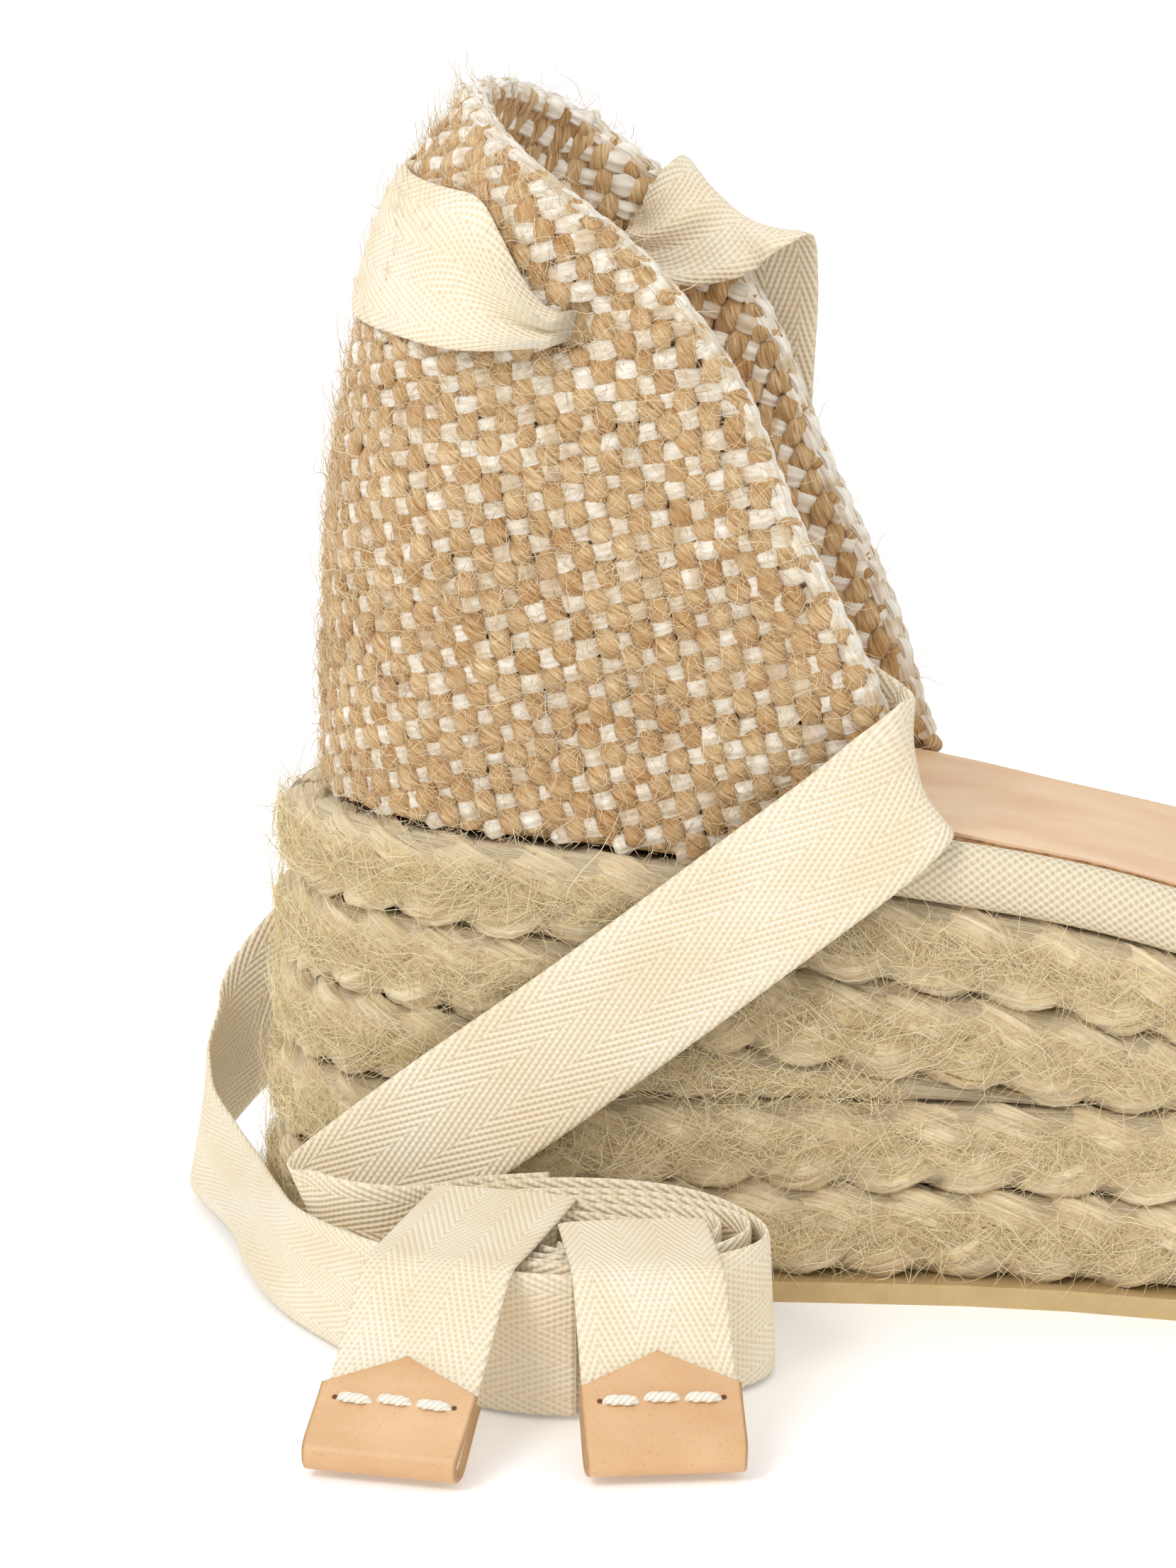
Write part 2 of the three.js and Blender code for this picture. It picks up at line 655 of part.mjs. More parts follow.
function piece(name, geometry, material) {
  const mesh = new THREE.Mesh(geometry, materials[material]);
  mesh.name = name;
  return mesh;
}

function group(...children) {
  const made = new THREE.Group();
  made.add(...children);
  return made;
}

const sole = group(
  piece("outsole", outsole(), "rubber"),
  piece("wedge_core", wedgeCore(), "core"),
  ...LAYER_THICKNESS.map((_, i) => piece(`rope_layer_${i + 1}`, ropeLayer(i), "jute_rope")),
);

const footbed = group(
  piece("insole_board", insoleBoard(), "board"),
  piece("footbed_foam", footbedFoam(), "foam"),
  piece("leather_footbed", leatherFootbed(), "leather"),
  piece("rand_outer", canvasRand(alongSide("outer", RAND_START, RAND_STOP)), "canvas"),
  piece("rand_inner", canvasRand(alongSide("inner", RAND_START, RAND_STOP)), "canvas"),
  piece("rand_toe", canvasRand(roundToe(TOE_RAND_START)), "canvas"),
);

const upper = group(
  piece("counter_outer", counterOuter(), "jute_cloth"),
  piece("counter_interlining", counterInterlining(), "interlining"),
  piece("counter_lining", counterLining(), "jute_cloth"),
  piece("vamp_outer", vampOuter(), "jute_cloth"),
  piece("vamp_lining", vampLining(), "jute_cloth"),
);

const ankleTape = group(
  piece("tape_back_wrap", backWrap(), "tape"),
  piece("tape_outer_side_inside", ribbon(NEAR_INNER_RUN, 13), "tape"),
  piece("tape_outer_side_fall", ribbon(NEAR_FALL_RUN, 19), "tape"),
  piece("tape_inner_side_inside", ribbon(FAR_INNER_RUN, 7), "tape"),
  piece("tape_inner_side_fall", ribbon(FAR_FALL_RUN, 21), "tape"),
  piece("tape_heel_loop", ribbon(HEEL_LOOP_RUN, 19), "tape"),
  piece("tape_bundle", bundle(), "tape"),
);

// One tape end: where its bend is, how it is turned, how far it reaches out to its tip's
// fold, and how far it reaches back over the bundle. It slopes down to the floor.
const BEND_HEIGHT = FLOOR_CLEAR + TAPE_WIDTH + GAP + TAPE_THICKNESS / 2;
function tapeEnd(name, [x, y], turn, reach, over) {
  const hanging = group(
    piece(`tape_${name}_end`, endTape(-reach), "tape"),
    piece(`${name}_tip`, endTip(-reach), "tip_leather"),
    ...Array.from({ length: STITCHES }, (_, i) =>
      piece(`${name}_tip_stitch_${i + 1}`, endStitch(-reach, i), "thread"),
    ),
  );
  hanging.rotation.x = Math.asin((BEND_HEIGHT - FLOOR_CLEAR - TIP_THICKNESS / 2) / reach);
  const whole = group(hanging, piece(`tape_${name}_over`, overTape(over), "tape"));
  whole.position.set(x, y, BEND_HEIGHT);
  whole.rotation.z = THREE.MathUtils.degToRad(turn);
  return whole;
}

const ends = group(
  tapeEnd("rear", [34, -80.5], -9, 33, 32),
  tapeEnd("front", [61.5, -80.5], 9, 30, 21),
);

const shoe = group(sole, footbed, upper, ankleTape, ends);

// The origin is the middle of the sole's underside.
const rim = allRound();
const middleOf = (values) => (Math.min(...values) + Math.max(...values)) / 2;
shoe.position.set(-middleOf(rim.map((p) => p.x)), -middleOf(rim.map((p) => p.y)), 0);

export default group(shoe);
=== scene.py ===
# Looks of the espadrille wedge sandal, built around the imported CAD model.
# Shapes are worked out in shoe coordinates: millimetres, x forward from the back of the heel,
# the outer side of the foot at -y, z up from the floor. put() turns them into the frame's metres.
import math

import bpy
import numpy as np
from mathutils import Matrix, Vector


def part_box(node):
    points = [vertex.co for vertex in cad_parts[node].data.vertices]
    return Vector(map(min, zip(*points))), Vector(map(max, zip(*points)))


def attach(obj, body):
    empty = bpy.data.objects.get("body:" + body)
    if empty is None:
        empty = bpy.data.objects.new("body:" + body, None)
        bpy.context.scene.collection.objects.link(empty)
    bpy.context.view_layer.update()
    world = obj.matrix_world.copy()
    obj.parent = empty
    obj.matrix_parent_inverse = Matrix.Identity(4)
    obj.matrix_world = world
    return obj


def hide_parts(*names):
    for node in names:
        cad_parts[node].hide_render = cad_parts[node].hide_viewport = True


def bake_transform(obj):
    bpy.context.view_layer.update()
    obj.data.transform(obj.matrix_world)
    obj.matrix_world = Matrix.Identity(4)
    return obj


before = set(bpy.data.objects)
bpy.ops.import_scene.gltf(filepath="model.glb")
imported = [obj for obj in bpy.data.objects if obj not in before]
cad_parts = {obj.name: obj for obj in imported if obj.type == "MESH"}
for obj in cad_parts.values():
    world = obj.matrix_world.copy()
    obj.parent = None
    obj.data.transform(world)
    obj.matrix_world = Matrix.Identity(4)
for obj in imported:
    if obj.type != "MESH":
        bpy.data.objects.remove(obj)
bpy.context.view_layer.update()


MM = 0.001
TURN = 2 * math.pi

# ---- Sizes, in millimetres ------------------------------------------------------------

SOLE_LOW, SOLE_HIGH = (np.array(corner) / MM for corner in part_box("outsole"))
HEEL_X = SOLE_LOW[0]  # the frame's x of the back of the heel
CENTRE_Y = 1.848  # the frame's y of the shoe's centre line
SOLE_LENGTH = SOLE_HIGH[0] - SOLE_LOW[0]
RUBBER = SOLE_HIGH[2]
HEEL_TOP = 65.5
FOREFOOT_TOP = 28.0
ROPE_LAYERS = 5
PITCH = (HEEL_TOP - RUBBER) / ROPE_LAYERS
LAYER_STEP = 0.5  # how far each layer is set in from the one below
TAPER_END = 0.9  # a layer has run out where it is thinner than this

COUNTER_LENGTH = 94.0
COUNTER_HEIGHT = 99.0
COUNTER_SETBACK = 8.4
COUNTER_NOSE = 24.0
COUNTER_BASE_HALF = 25.0
COUNTER_TOP_HALF = 29.5
COUNTER_THICKNESS = 4.4
NOSE_ARC = 40.0
WALL_REACH = NOSE_ARC + COUNTER_LENGTH - COUNTER_SETBACK - COUNTER_NOSE
SLIT_FORWARD = 47.0
SLIT_Z = HEEL_TOP + 73.5
SLIT_LENGTH = 12.0
SLIT_WIDTH = 2.4

VAMP_FRONT = SOLE_LENGTH - 28.0
VAMP_BACK = VAMP_FRONT - 58.0
VAMP_INSET = 4.5
VAMP_THICKNESS = 3.45
VAMP_RISE_BACK = 47.0
VAMP_RISE_FRONT = 31.0
VAMP_LEG = 0.1  # share of the strap's half girth that stands upright

BED_THICKNESS = 9.6
RAND_INNER = 7.8

TAPE_WIDTH = 20.0
TAPE_THICKNESS = 0.9
TIP_LENGTH = 17.0
TIP_SHOULDER = 12.0
TIP_HALF_WIDTH = 10.5
TIP_THICKNESS = 3.6

# ---- Small maths ----------------------------------------------------------------------


def smooth(value, low, high):
    t = np.clip((value - low) / (high - low), 0, 1)
    return t * t * (3 - 2 * t)


def mix(a, b, t):
    return a + (b - a) * t


def unit(vectors):
    return vectors / np.maximum(np.linalg.norm(vectors, axis=-1, keepdims=True), 1e-9)


def path_run(path):
    """The distance along a path at each of its points."""
    return np.concatenate([[0], np.cumsum(np.linalg.norm(np.diff(path, axis=0), axis=1))])


def sample(run, values, at):
    """Rows of values known at distances run, read off at other distances."""
    return np.stack([np.interp(at, run, column) for column in values.T], -1)


def curve_through(points):
    """The smooth curve through points (x, value) that never overshoots them."""
    x, y = np.array(points, float).T
    step = np.diff(y) / np.diff(x)
    slope = np.zeros(len(x))
    inner = step[:-1] * step[1:] > 0
    with np.errstate(divide="ignore", invalid="ignore"):
        harmonic = 2 * step[:-1] * step[1:] / (step[:-1] + step[1:])
    slope[1:-1] = np.where(inner, harmonic, 0)

    def value(at):
        at = np.clip(at, x[0], x[-1])
        i = np.clip(np.searchsorted(x, at, side="right") - 1, 0, len(x) - 2)
        width = x[i + 1] - x[i]
        t = (at - x[i]) / width
        bend = width * t * (1 - t)
        return mix(y[i], y[i + 1], t * t * (3 - 2 * t)) + bend * ((1 - t) * slope[i] - t * slope[i + 1])

    return value


def through(points, count, closed=False):
    """count points on a Catmull-Rom curve through the given ones, evenly spaced."""
    p = np.array(points, float)
    if closed:
        padded = np.vstack([p[-1:], p, p[:2]])
    else:
        padded = np.vstack([2 * p[0] - p[1], p, 2 * p[-1] - p[-2]])
    t = np.linspace(0, 1, 24, endpoint=False)[:, None]
    fine = []
    for a, b, c, d in zip(padded, padded[1:], padded[2:], padded[3:]):
        square, cube = 2 * a - 5 * b + 4 * c - d, 3 * b - a - 3 * c + d
        fine.append(0.5 * (2 * b + (c - a) * t + square * t**2 + cube * t**3))
    fine = np.vstack([*fine, padded[-2:-1]])
    run = path_run(fine[:, :3])
    return sample(run, fine, np.linspace(0, run[-1], count, endpoint=not closed))


def waves(seed, count, low, high):
    """A smooth noise of one variable: a sum of sines of random length and phase."""
    rng = np.random.default_rng(seed)
    length = rng.uniform(low, high, count)
    phase = rng.uniform(0, TURN, count)
    return lambda s: sum(np.sin(TURN * s / l + p) for l, p in zip(length, phase)) / math.sqrt(count)


# ---- Shoe surfaces --------------------------------------------------------------------

WEDGE_RUN = HEEL_TOP - FOREFOOT_TOP
rope_top = curve_through([
    (0, HEEL_TOP),
    (0.146 * SOLE_LENGTH, HEEL_TOP - 0.055 * WEDGE_RUN),
    (0.382 * SOLE_LENGTH, HEEL_TOP - 0.245 * WEDGE_RUN),
    (0.524 * SOLE_LENGTH, HEEL_TOP - 0.4 * WEDGE_RUN),
    (0.65 * SOLE_LENGTH, HEEL_TOP - 0.76 * WEDGE_RUN),
    (0.75 * SOLE_LENGTH, FOREFOOT_TOP),
])


def sole_outline():
    """The sole's outline as evenly spaced points from the back of the heel along the outer side."""
    points = np.array([v.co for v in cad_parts["outsole"].data.vertices], float) / MM
    low = np.unique(np.round(points[points[:, 2] < 0.05][:, :2], 2), axis=0)
    low -= [HEEL_X, CENTRE_Y]
    turn = np.arctan2(low[:, 1], low[:, 0] - SOLE_LENGTH / 2)
    order = np.argsort((turn - math.pi) % TURN)
    loop = through(low[order], 1200, closed=True)
    return np.roll(loop, -int(np.argmin(loop[:, 0])), axis=0)


def inward_of(outline):
    tangent = unit(np.roll(outline, -3, axis=0) - np.roll(outline, 3, axis=0))
    return np.stack([-tangent[:, 1], tangent[:, 0]], 1)


def looped(rows):
    return np.vstack([rows, rows[:1]])


OUTLINE = sole_outline()
RIM = looped(OUTLINE)
RIM_INWARD = looped(inward_of(OUTLINE))
RIM_RUN = path_run(RIM)
RIM_LENGTH = RIM_RUN[-1]


def along_rim(run, inset):
    """Points and inward normals at distances along the outline, moved in by an inset."""
    at = run % RIM_LENGTH
    inward = unit(sample(RIM_RUN, RIM_INWARD, at))
    return sample(RIM_RUN, RIM, at) + inward * np.asarray(inset)[..., None], inward


def rim_run_at(side, x):
    """Distance along the outline to where it reaches x on the outer or inner side."""
    toe = int(np.argmax(OUTLINE[:, 0]))
    if side == "outer":
        return float(np.interp(x, OUTLINE[:toe, 0], RIM_RUN[:toe]))
    return float(np.interp(x, OUTLINE[toe:, 0][::-1], RIM_RUN[toe:-1][::-1]))


def up(share):
    """The height at a share of the counter's height."""
    return HEEL_TOP + share * COUNTER_HEIGHT


back_line = curve_through([
    (up(0), COUNTER_SETBACK),
    (up(0.35), COUNTER_SETBACK + 0.8),
    (up(0.67), COUNTER_SETBACK + 5.6),
    (up(0.84), COUNTER_SETBACK + 10.7),
    (up(1.03), COUNTER_SETBACK + 21.6),
])
TOPLINE_RUN = COUNTER_LENGTH - COUNTER_SETBACK
TOPLINE = ((0.2, 1), (0.38, 0.935), (0.556, 0.813), (0.696, 0.65), (0.79, 0.45), (0.906, 0.232), (1, 0.02))
topline = curve_through([(COUNTER_SETBACK + ahead * TOPLINE_RUN, up(share)) for ahead, share in TOPLINE])
SLIT_AROUND = NOSE_ARC + SLIT_FORWARD - float(back_line(SLIT_Z)) - COUNTER_NOSE


def counter_point(around, z, depth):
    """A point of the counter wall: around from the back, negative on the outer side."""
    around, z, depth = np.broadcast_arrays(np.asarray(around, float), z, depth)
    distance = np.abs(around)
    sign = np.where(around < 0, -1.0, 1.0)
    half = mix(COUNTER_BASE_HALF, COUNTER_TOP_HALF, smooth(z, up(0), up(0.55))) - depth
    turn = np.minimum(distance / NOSE_ARC, 1) * math.pi / 2
    nose = (COUNTER_NOSE - depth) * (1 - np.cos(turn))
    x = back_line(z) + depth + nose + np.maximum(distance - NOSE_ARC, 0)
    return np.stack([x, sign * half * np.sin(turn), z], -1)


def counter_top(around):
    """The height of the counter's top edge, found by halving."""
    low = np.full(np.shape(around), up(-0.2))
    high = np.full(np.shape(around), up(1.2))
    for _ in range(30):
        middle = (low + high) / 2
        above = topline(counter_point(around, middle, 0)[..., 0]) > middle
        low, high = np.where(above, middle, low), np.where(above, high, middle)
    return (low + high) / 2


def counter_foot(around):
    return rope_top(counter_point(around, up(0), 0)[..., 0])


VAMP_X = np.linspace(VAMP_BACK - 5, VAMP_FRONT + 5, 20)
VAMP_RUNS = [np.array([rim_run_at(side, x) for x in VAMP_X]) for side in ("outer", "inner")]


def vamp_point(across, x, depth):
    """A point of the toe strap: across from -1, the outer foot, over the crown to 1."""
    across, x, depth = np.broadcast_arrays(np.asarray(across, float), x, depth)
    near, far = (along_rim(np.interp(x, VAMP_X, runs), 0)[0][..., 1] for runs in VAMP_RUNS)
    rise = mix(VAMP_RISE_BACK, VAMP_RISE_FRONT, (x - VAMP_BACK) / (VAMP_FRONT - VAMP_BACK))
    half = (far - near) / 2 - VAMP_INSET - depth
    spring = rope_top(x) + BED_THICKNESS
    share = np.clip((np.abs(across) - (1 - VAMP_LEG)) / VAMP_LEG, 0, 1)
    turn = np.clip(across / (1 - VAMP_LEG), -1, 1) * math.pi / 2
    z = np.where(share > 0, mix(spring, rope_top(x), share), spring + (rise - depth) * np.cos(turn))
    return np.stack([x, (near + far) / 2 + half * np.sin(turn), z], -1)


# ---- Meshes ---------------------------------------------------------------------------


def put(points):
    """Shoe coordinates to the frame's, in metres."""
    return (np.asarray(points) + [HEEL_X, CENTRE_Y, 0]) * MM


def ring_quads(here, ahead):
    """Quads between rings of vertex numbers and the rings ahead of them."""
    return np.stack([here, np.roll(here, -1, -1), np.roll(ahead, -1, -1), ahead], -1).reshape(-1, 4)


class Skin:
    """Collects vertices, quads and a texture coordinate (mm along, mm across, tone)."""

    def __init__(self):
        self.points, self.coords, self.faces, self.count = [], [], [], 0

    def add(self, points, coords, faces):
        self.points.append(points.reshape(-1, 3))
        self.coords.append(coords.reshape(-1, 3))
        self.faces.append(faces + self.count)
        self.count += len(self.points[-1])
        return self

    def tube(self, rings, coords, closed=False):
        """A tube through rings (n, k, 3); an open one is capped at both ends."""
        n, k = rings.shape[:2]
        grid = np.arange(n * k).reshape(n, k)
        if closed:
            return self.add(rings, coords, ring_quads(grid, np.roll(grid, -1, axis=0)))
        i = np.arange((k - 1) // 2)
        caps = [np.stack([r[i], r[i + 1], r[k - 2 - i], r[k - 1 - i]], -1) for r in (grid[0], grid[-1])]
        faces = np.vstack([ring_quads(grid[:-1], grid[1:]), caps[0][:, ::-1], caps[1]])
        return self.add(rings, coords, faces)

    def make(self, name, material):
        points, coords, faces = (np.vstack(part) for part in (self.points, self.coords, self.faces))
        return make_mesh(name, put(points), faces, coords, material)


def make_mesh(name, points, faces, coords, material):
    """A smooth mesh of quads; a quad whose last two corners are one vertex is a triangle."""
    mesh = bpy.data.meshes.new(name)
    mesh.vertices.add(len(points))
    mesh.vertices.foreach_set("co", np.asarray(points, np.float32).ravel())
    sizes = np.where(faces[:, 2] == faces[:, 3], 3, 4)
    flat = faces[np.arange(4)[None, :] < sizes[:, None]]
    mesh.loops.add(len(flat))
    mesh.loops.foreach_set("vertex_index", flat.astype(np.int32))
    mesh.polygons.add(len(faces))
    starts = np.concatenate([[0], np.cumsum(sizes)[:-1]])
    mesh.polygons.foreach_set("loop_start", starts.astype(np.int32))
    mesh.polygons.foreach_set("use_smooth", np.ones(len(faces), bool))
    mesh.update(calc_edges=True)
    mesh.validate()
    attribute = mesh.attributes.new("tex", "FLOAT_VECTOR", "POINT")
    attribute.data.foreach_set("vector", coords.astype(np.float32).ravel())
    mesh.materials.append(material)
    made = bpy.data.objects.new(name, mesh)
    bpy.context.scene.collection.objects.link(made)
    return made


def cross_axes(path, side):
    """The direction to the given side, square to the path, and the third direction."""
    tangent = unit(np.gradient(path, axis=0))
    sideways = unit(side - tangent * (side * tangent).sum(-1, keepdims=True))
    return sideways, np.cross(tangent, sideways)


def yarn_rings(path, side, half_side, half_third, count, ridges=1, squareness=1.0):
    """Rings round a path, starting on the face turned away from side."""
    sideways, third = cross_axes(path, side)
    turn = math.pi + np.linspace(0, TURN, count, endpoint=False)
    cos, sin = (np.sign(v) * np.abs(v) ** squareness for v in (np.cos(turn), np.sin(turn)))
    half_side = np.broadcast_to(half_side, len(path))[:, None]
    half_third = np.broadcast_to(half_third, len(path))[:, None]
    out = (half_side * cos * ridges)[..., None] * sideways[:, None]
    return path[:, None] + out + (half_third * sin * ridges)[..., None] * third[:, None]


def pinch_ends(rings, path):
    """Yarn ends drawn in, so that they tuck under the edge that covers them."""
    scale = np.ones(len(path))
    scale[[0, -1]] = 0.55
    return path[:, None] + (rings - path[:, None]) * scale[:, None, None]


def coords_of(run, around, tone=0.0):
    """Texture coordinates of rings: each ring's run in mm, the place round it, and a tone."""
    coords = np.zeros((len(run), len(around), 3))
    coords[..., 0] = run[:, None]
    coords[..., 1] = around
    coords[..., 2] = tone
    return coords


def tube_coords(run, girth, count, tone):
    return coords_of(run, np.linspace(0, girth, count, endpoint=False), tone)


WITH_COUNTER = ("sole", "counter", (0.0, 0.0, 0.075), (0.0, 0.0, 0.110))


def settle(piece, rides="sole", nodes=()):
    """Hides the CAD nodes that a piece stands for, and parents it to the body that it moves with.

    rides is a body, or two bodies and two places; these are not used, and the piece is only baked in place.
    """
    if nodes:
        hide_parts(*nodes)
    if isinstance(rides, str):
        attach(piece, rides)
    else:
        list(rides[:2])
        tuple(rides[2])
        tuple(rides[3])
        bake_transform(piece)
    return piece


# ---- Material helpers -----------------------------------------------------------------


def linear(red, green, blue):
    """An sRGB colour, 0 to 255, as the linear colour that shaders take."""
    values = [c / 255 for c in (red, green, blue)]
    return (*[v / 12.92 if v <= 0.04045 else ((v + 0.055) / 1.055) ** 2.4 for v in values], 1.0)


class Shader:
    """A procedural material under construction."""

    def __init__(self, name, roughness=0.85, sheen=0.0, specular=0.3):
        self.material = bpy.data.materials.new(name)
        self.material.use_nodes = True
        self.nodes = self.material.node_tree.nodes
        self.links = self.material.node_tree.links
        self.surface = self.nodes["Principled BSDF"]
        self.surface.inputs["Roughness"].default_value = roughness
        self.surface.inputs["Specular IOR Level"].default_value = specular
        self.surface.inputs["Sheen Weight"].default_value = sheen
        self.surface.inputs["Sheen Roughness"].default_value = 0.5

    def node(self, kind, inputs=(), **settings):
        """A new node with its inputs, by name or number, fed from sockets or values."""
        made = self.nodes.new(kind)
        for key, value in settings.items():
            setattr(made, key, value)
        for key, value in inputs:
            self.feed(made.inputs[key], value)
        return made

    def feed(self, socket, value):
        if isinstance(value, bpy.types.NodeSocket):
            self.links.new(value, socket)
        else:
            socket.default_value = value

    def tex(self):
        return self.node("ShaderNodeAttribute", attribute_name="tex").outputs["Vector"]

    def tex_axes(self):
        return self.node("ShaderNodeSeparateXYZ", [(0, self.tex())]).outputs

    def join(self, *axes):
        return self.node("ShaderNodeCombineXYZ", enumerate(axes)).outputs[0]

    def maths(self, operation, *values):
        return self.node("ShaderNodeMath", enumerate(values), operation=operation).outputs[0]

    def times(self, a, b):
        return self.maths("MULTIPLY", a, b)

    def times_plus(self, a, b, c):
        return self.maths("MULTIPLY_ADD", a, b, c)

    def wave(self, value, length):
        return self.maths("SINE", self.times(value, TURN / length))

    def noise(self, vector, scale=1.0, detail=2.0, roughness=0.5, distortion=0.0):
        inputs = {"Vector": vector, "Scale": scale, "Detail": detail, "Roughness": roughness}
        made = self.node("ShaderNodeTexNoise", [*inputs.items(), ("Distortion", distortion)])
        return made.outputs["Fac"]

    def scaled_noise(self, vector, scale, settings):
        made = self.node("ShaderNodeMapping", [("Vector", vector), ("Scale", scale)])
        return self.noise(made.outputs[0], **settings)

    def tex_noise(self, *scale, **settings):
        """Noise over the texture coordinate."""
        return self.scaled_noise(self.tex(), scale, settings)

    def place_noise(self, *scale, **settings):
        """Noise over the place on the object, in metres."""
        return self.scaled_noise(self.node("ShaderNodeTexCoord").outputs["Object"], scale, settings)

    def ramp(self, factor, *stops):
        """Colours along a factor, each stop given as its place, red, green and blue."""
        made = self.node("ShaderNodeValToRGB", [(0, factor)])
        elements = made.color_ramp.elements
        while len(elements) < len(stops):
            elements.new(1.0)
        for element, (place, *colour) in zip(elements, stops):
            element.position = place
            element.color = linear(*colour)
        return made.outputs[0]

    def blend(self, factor, a, b, kind="MIX"):
        inputs = [("Factor", factor), ("A", a), ("B", b)]
        return self.node("ShaderNodeMix", inputs, data_type="RGBA", blend_type=kind).outputs["Result"]

    def product(self, a, b):
        return self.blend(1.0, a, b, "MULTIPLY")

    def colour(self, value):
        self.feed(self.surface.inputs["Base Color"], value)
        return self

    def bump(self, height, distance, strength=1.0):
        inputs = [("Strength", strength), ("Distance", distance * MM), ("Height", height)]
        made = self.node("ShaderNodeBump", inputs)
        before = self.surface.inputs["Normal"]
        if before.is_linked:
            self.feed(made.inputs["Normal"], before.links[0].from_socket)
        self.feed(before, made.outputs["Normal"])
        return self


# ---- Materials ------------------------------------------------------------------------

WHITE = (255, 255, 255)


def jute_rope_material():
    """Combed jute: fine fibres along the strand, paler and darker bundles, greyer patches."""
    m = Shader("jute_rope", roughness=0.8, sheen=0.25)
    fibres = m.tex_noise(0.09, 3.0, 9.0, detail=5.0, roughness=0.7, distortion=0.5)
    bundles = m.tex_noise(0.06, 0.75, 5.0)
    patches = m.place_noise(45, 45, 45, detail=1.0)
    fine = m.ramp(
        fibres, (0.30, 172, 142, 98), (0.40, 234, 211, 170), (0.54, 251, 234, 202), (0.68, 255, 247, 224)
    )
    broad = m.ramp(bundles, (0.3, 226, 212, 184), (0.55, 255, 254, 248))
    grey = m.ramp(patches, (0.35, 246, 243, 236), (0.65, 255, 254, 248))
    m.colour(m.product(m.blend(0.75, m.product(fine, broad), fine), grey))
    return m.bump(bundles, 0.6, 0.7).bump(fibres, 0.42).material


def fibre_material(name, low, high):
    """Loose hairs, each of its own tone."""
    m = Shader(name, roughness=0.6)
    return m.colour(m.ramp(m.tex_axes()[2], (0.0, *low), (1.0, *high))).material


def jute_yarn_material():
    """Two-ply jute yarn: plump slanting fibres in golden tan with darker furrows."""
    m = Shader("jute_yarn", roughness=0.8, sheen=0.2)
    x, y, tone = m.tex_axes()
    slant = m.times_plus(x, 0.85, y)
    cross = m.times_plus(y, -0.55, x)
    place = m.join(m.times(cross, 0.35), m.times(slant, 3.2), tone)
    streaks = m.noise(place, detail=3.0, roughness=0.6, distortion=0.4)
    fine = m.ramp(
        streaks, (0.28, 140, 102, 60), (0.42, 196, 160, 112), (0.58, 222, 192, 148), (0.76, 246, 228, 194)
    )
    drift = m.noise(m.join(m.times(x, 0.2), 0.0, tone), scale=1.3)
    m.colour(m.product(fine, m.ramp(drift, (0.35, 226, 208, 184), (0.6, *WHITE))))
    return m.bump(m.wave(slant, 2.3), 0.14, 0.8).bump(streaks, 0.25, 0.9).material


def cotton_yarn_material():
    """Soft white cotton, two or three plies side by side, a little greyed in places."""
    m = Shader("cotton_yarn", roughness=0.75, sheen=0.3)
    x, y, tone = m.tex_axes()
    lines = m.noise(m.join(m.times(x, 0.3), m.times(y, 2.2), tone), detail=3.0)
    fluff = m.ramp(lines, (0.3, 226, 218, 204), (0.6, 255, 253, 248))
    cells = m.noise(m.join(m.times(x, 0.22), 0.0, m.times(tone, 3.0)), scale=1.5, detail=1.0)
    m.colour(m.product(fluff, m.ramp(cells, (0.34, 222, 204, 178), (0.5, 248, 244, 236))))
    return m.bump(m.wave(y, 1.05), 0.12, 0.7).bump(lines, 0.12, 0.6).material


RIB_PITCH = 0.9
COLUMN = 5.0


def tape_material():
    """Ivory cotton herringbone: fine ribs that change slant from column to column."""
    m = Shader("tape", roughness=0.8, sheen=0.15)
    x, y, _ = m.tex_axes()
    mirrored = m.maths("PINGPONG", m.maths("ADD", y, 40.0 + COLUMN / 2), COLUMN)
    rib = m.wave(m.times_plus(x, 0.38, mirrored), RIB_PITCH)
    weft = m.times_plus(m.wave(x, 0.8), 0.5, rib)
    lit = m.times_plus(weft, 0.32, 0.5)
    ribs = m.ramp(lit, (0.0, 226, 205, 168), (0.3, 243, 230, 204), (0.65, 249, 240, 221))
    cloudy = m.tex_noise(0.05, 0.09, 1.0)
    m.colour(m.product(ribs, m.ramp(cloudy, (0.35, 251, 245, 233), (0.65, 255, 255, 253))))
    return m.bump(weft, 0.11, 0.8).bump(m.tex_noise(1.4, 1.4, 1.0, detail=3.0), 0.06, 0.6).material


def leather_material(name, dark, base, light, roughness, details=()):
    """Smooth tanned leather with fine pores, faint creases and cloudy colour, and details over it."""
    m = Shader(name, roughness=roughness, specular=0.4)
    pores = m.place_noise(2400, 2400, 2400, roughness=0.6)
    clouds = m.place_noise(60, 120, 60, detail=3.0)
    creases = m.place_noise(160, 500, 300, detail=4.0, roughness=0.6)
    colour = m.ramp(clouds, (0.3, *dark), (0.5, *base), (0.7, *light))
    colour = m.product(colour, m.ramp(pores, (0.3, 246, 238, 226), (0.42, *WHITE)))
    for detail in details:
        colour = m.product(colour, detail(m))
    return m.colour(colour).bump(creases, 0.05, 0.4).bump(pores, 0.02, 0.5).material


HOLE_RUN = 7.35  # along the tip's leather from its point to the row of stitches
HOLE_ACROSS = 8.0


def needle_holes(m):
    """A brown needle hole at each end of the tip's row of stitches."""
    x, y, _ = m.tex_axes()
    off = m.maths("SUBTRACT", x, HOLE_RUN)
    side = m.maths("SUBTRACT", m.maths("ABSOLUTE", y), HOLE_ACROSS)
    gap = m.maths("SQRT", m.maths("ADD", m.times(off, off), m.times(side, side)))
    return m.ramp(gap, (0.28, 120, 72, 36), (0.5, *WHITE))


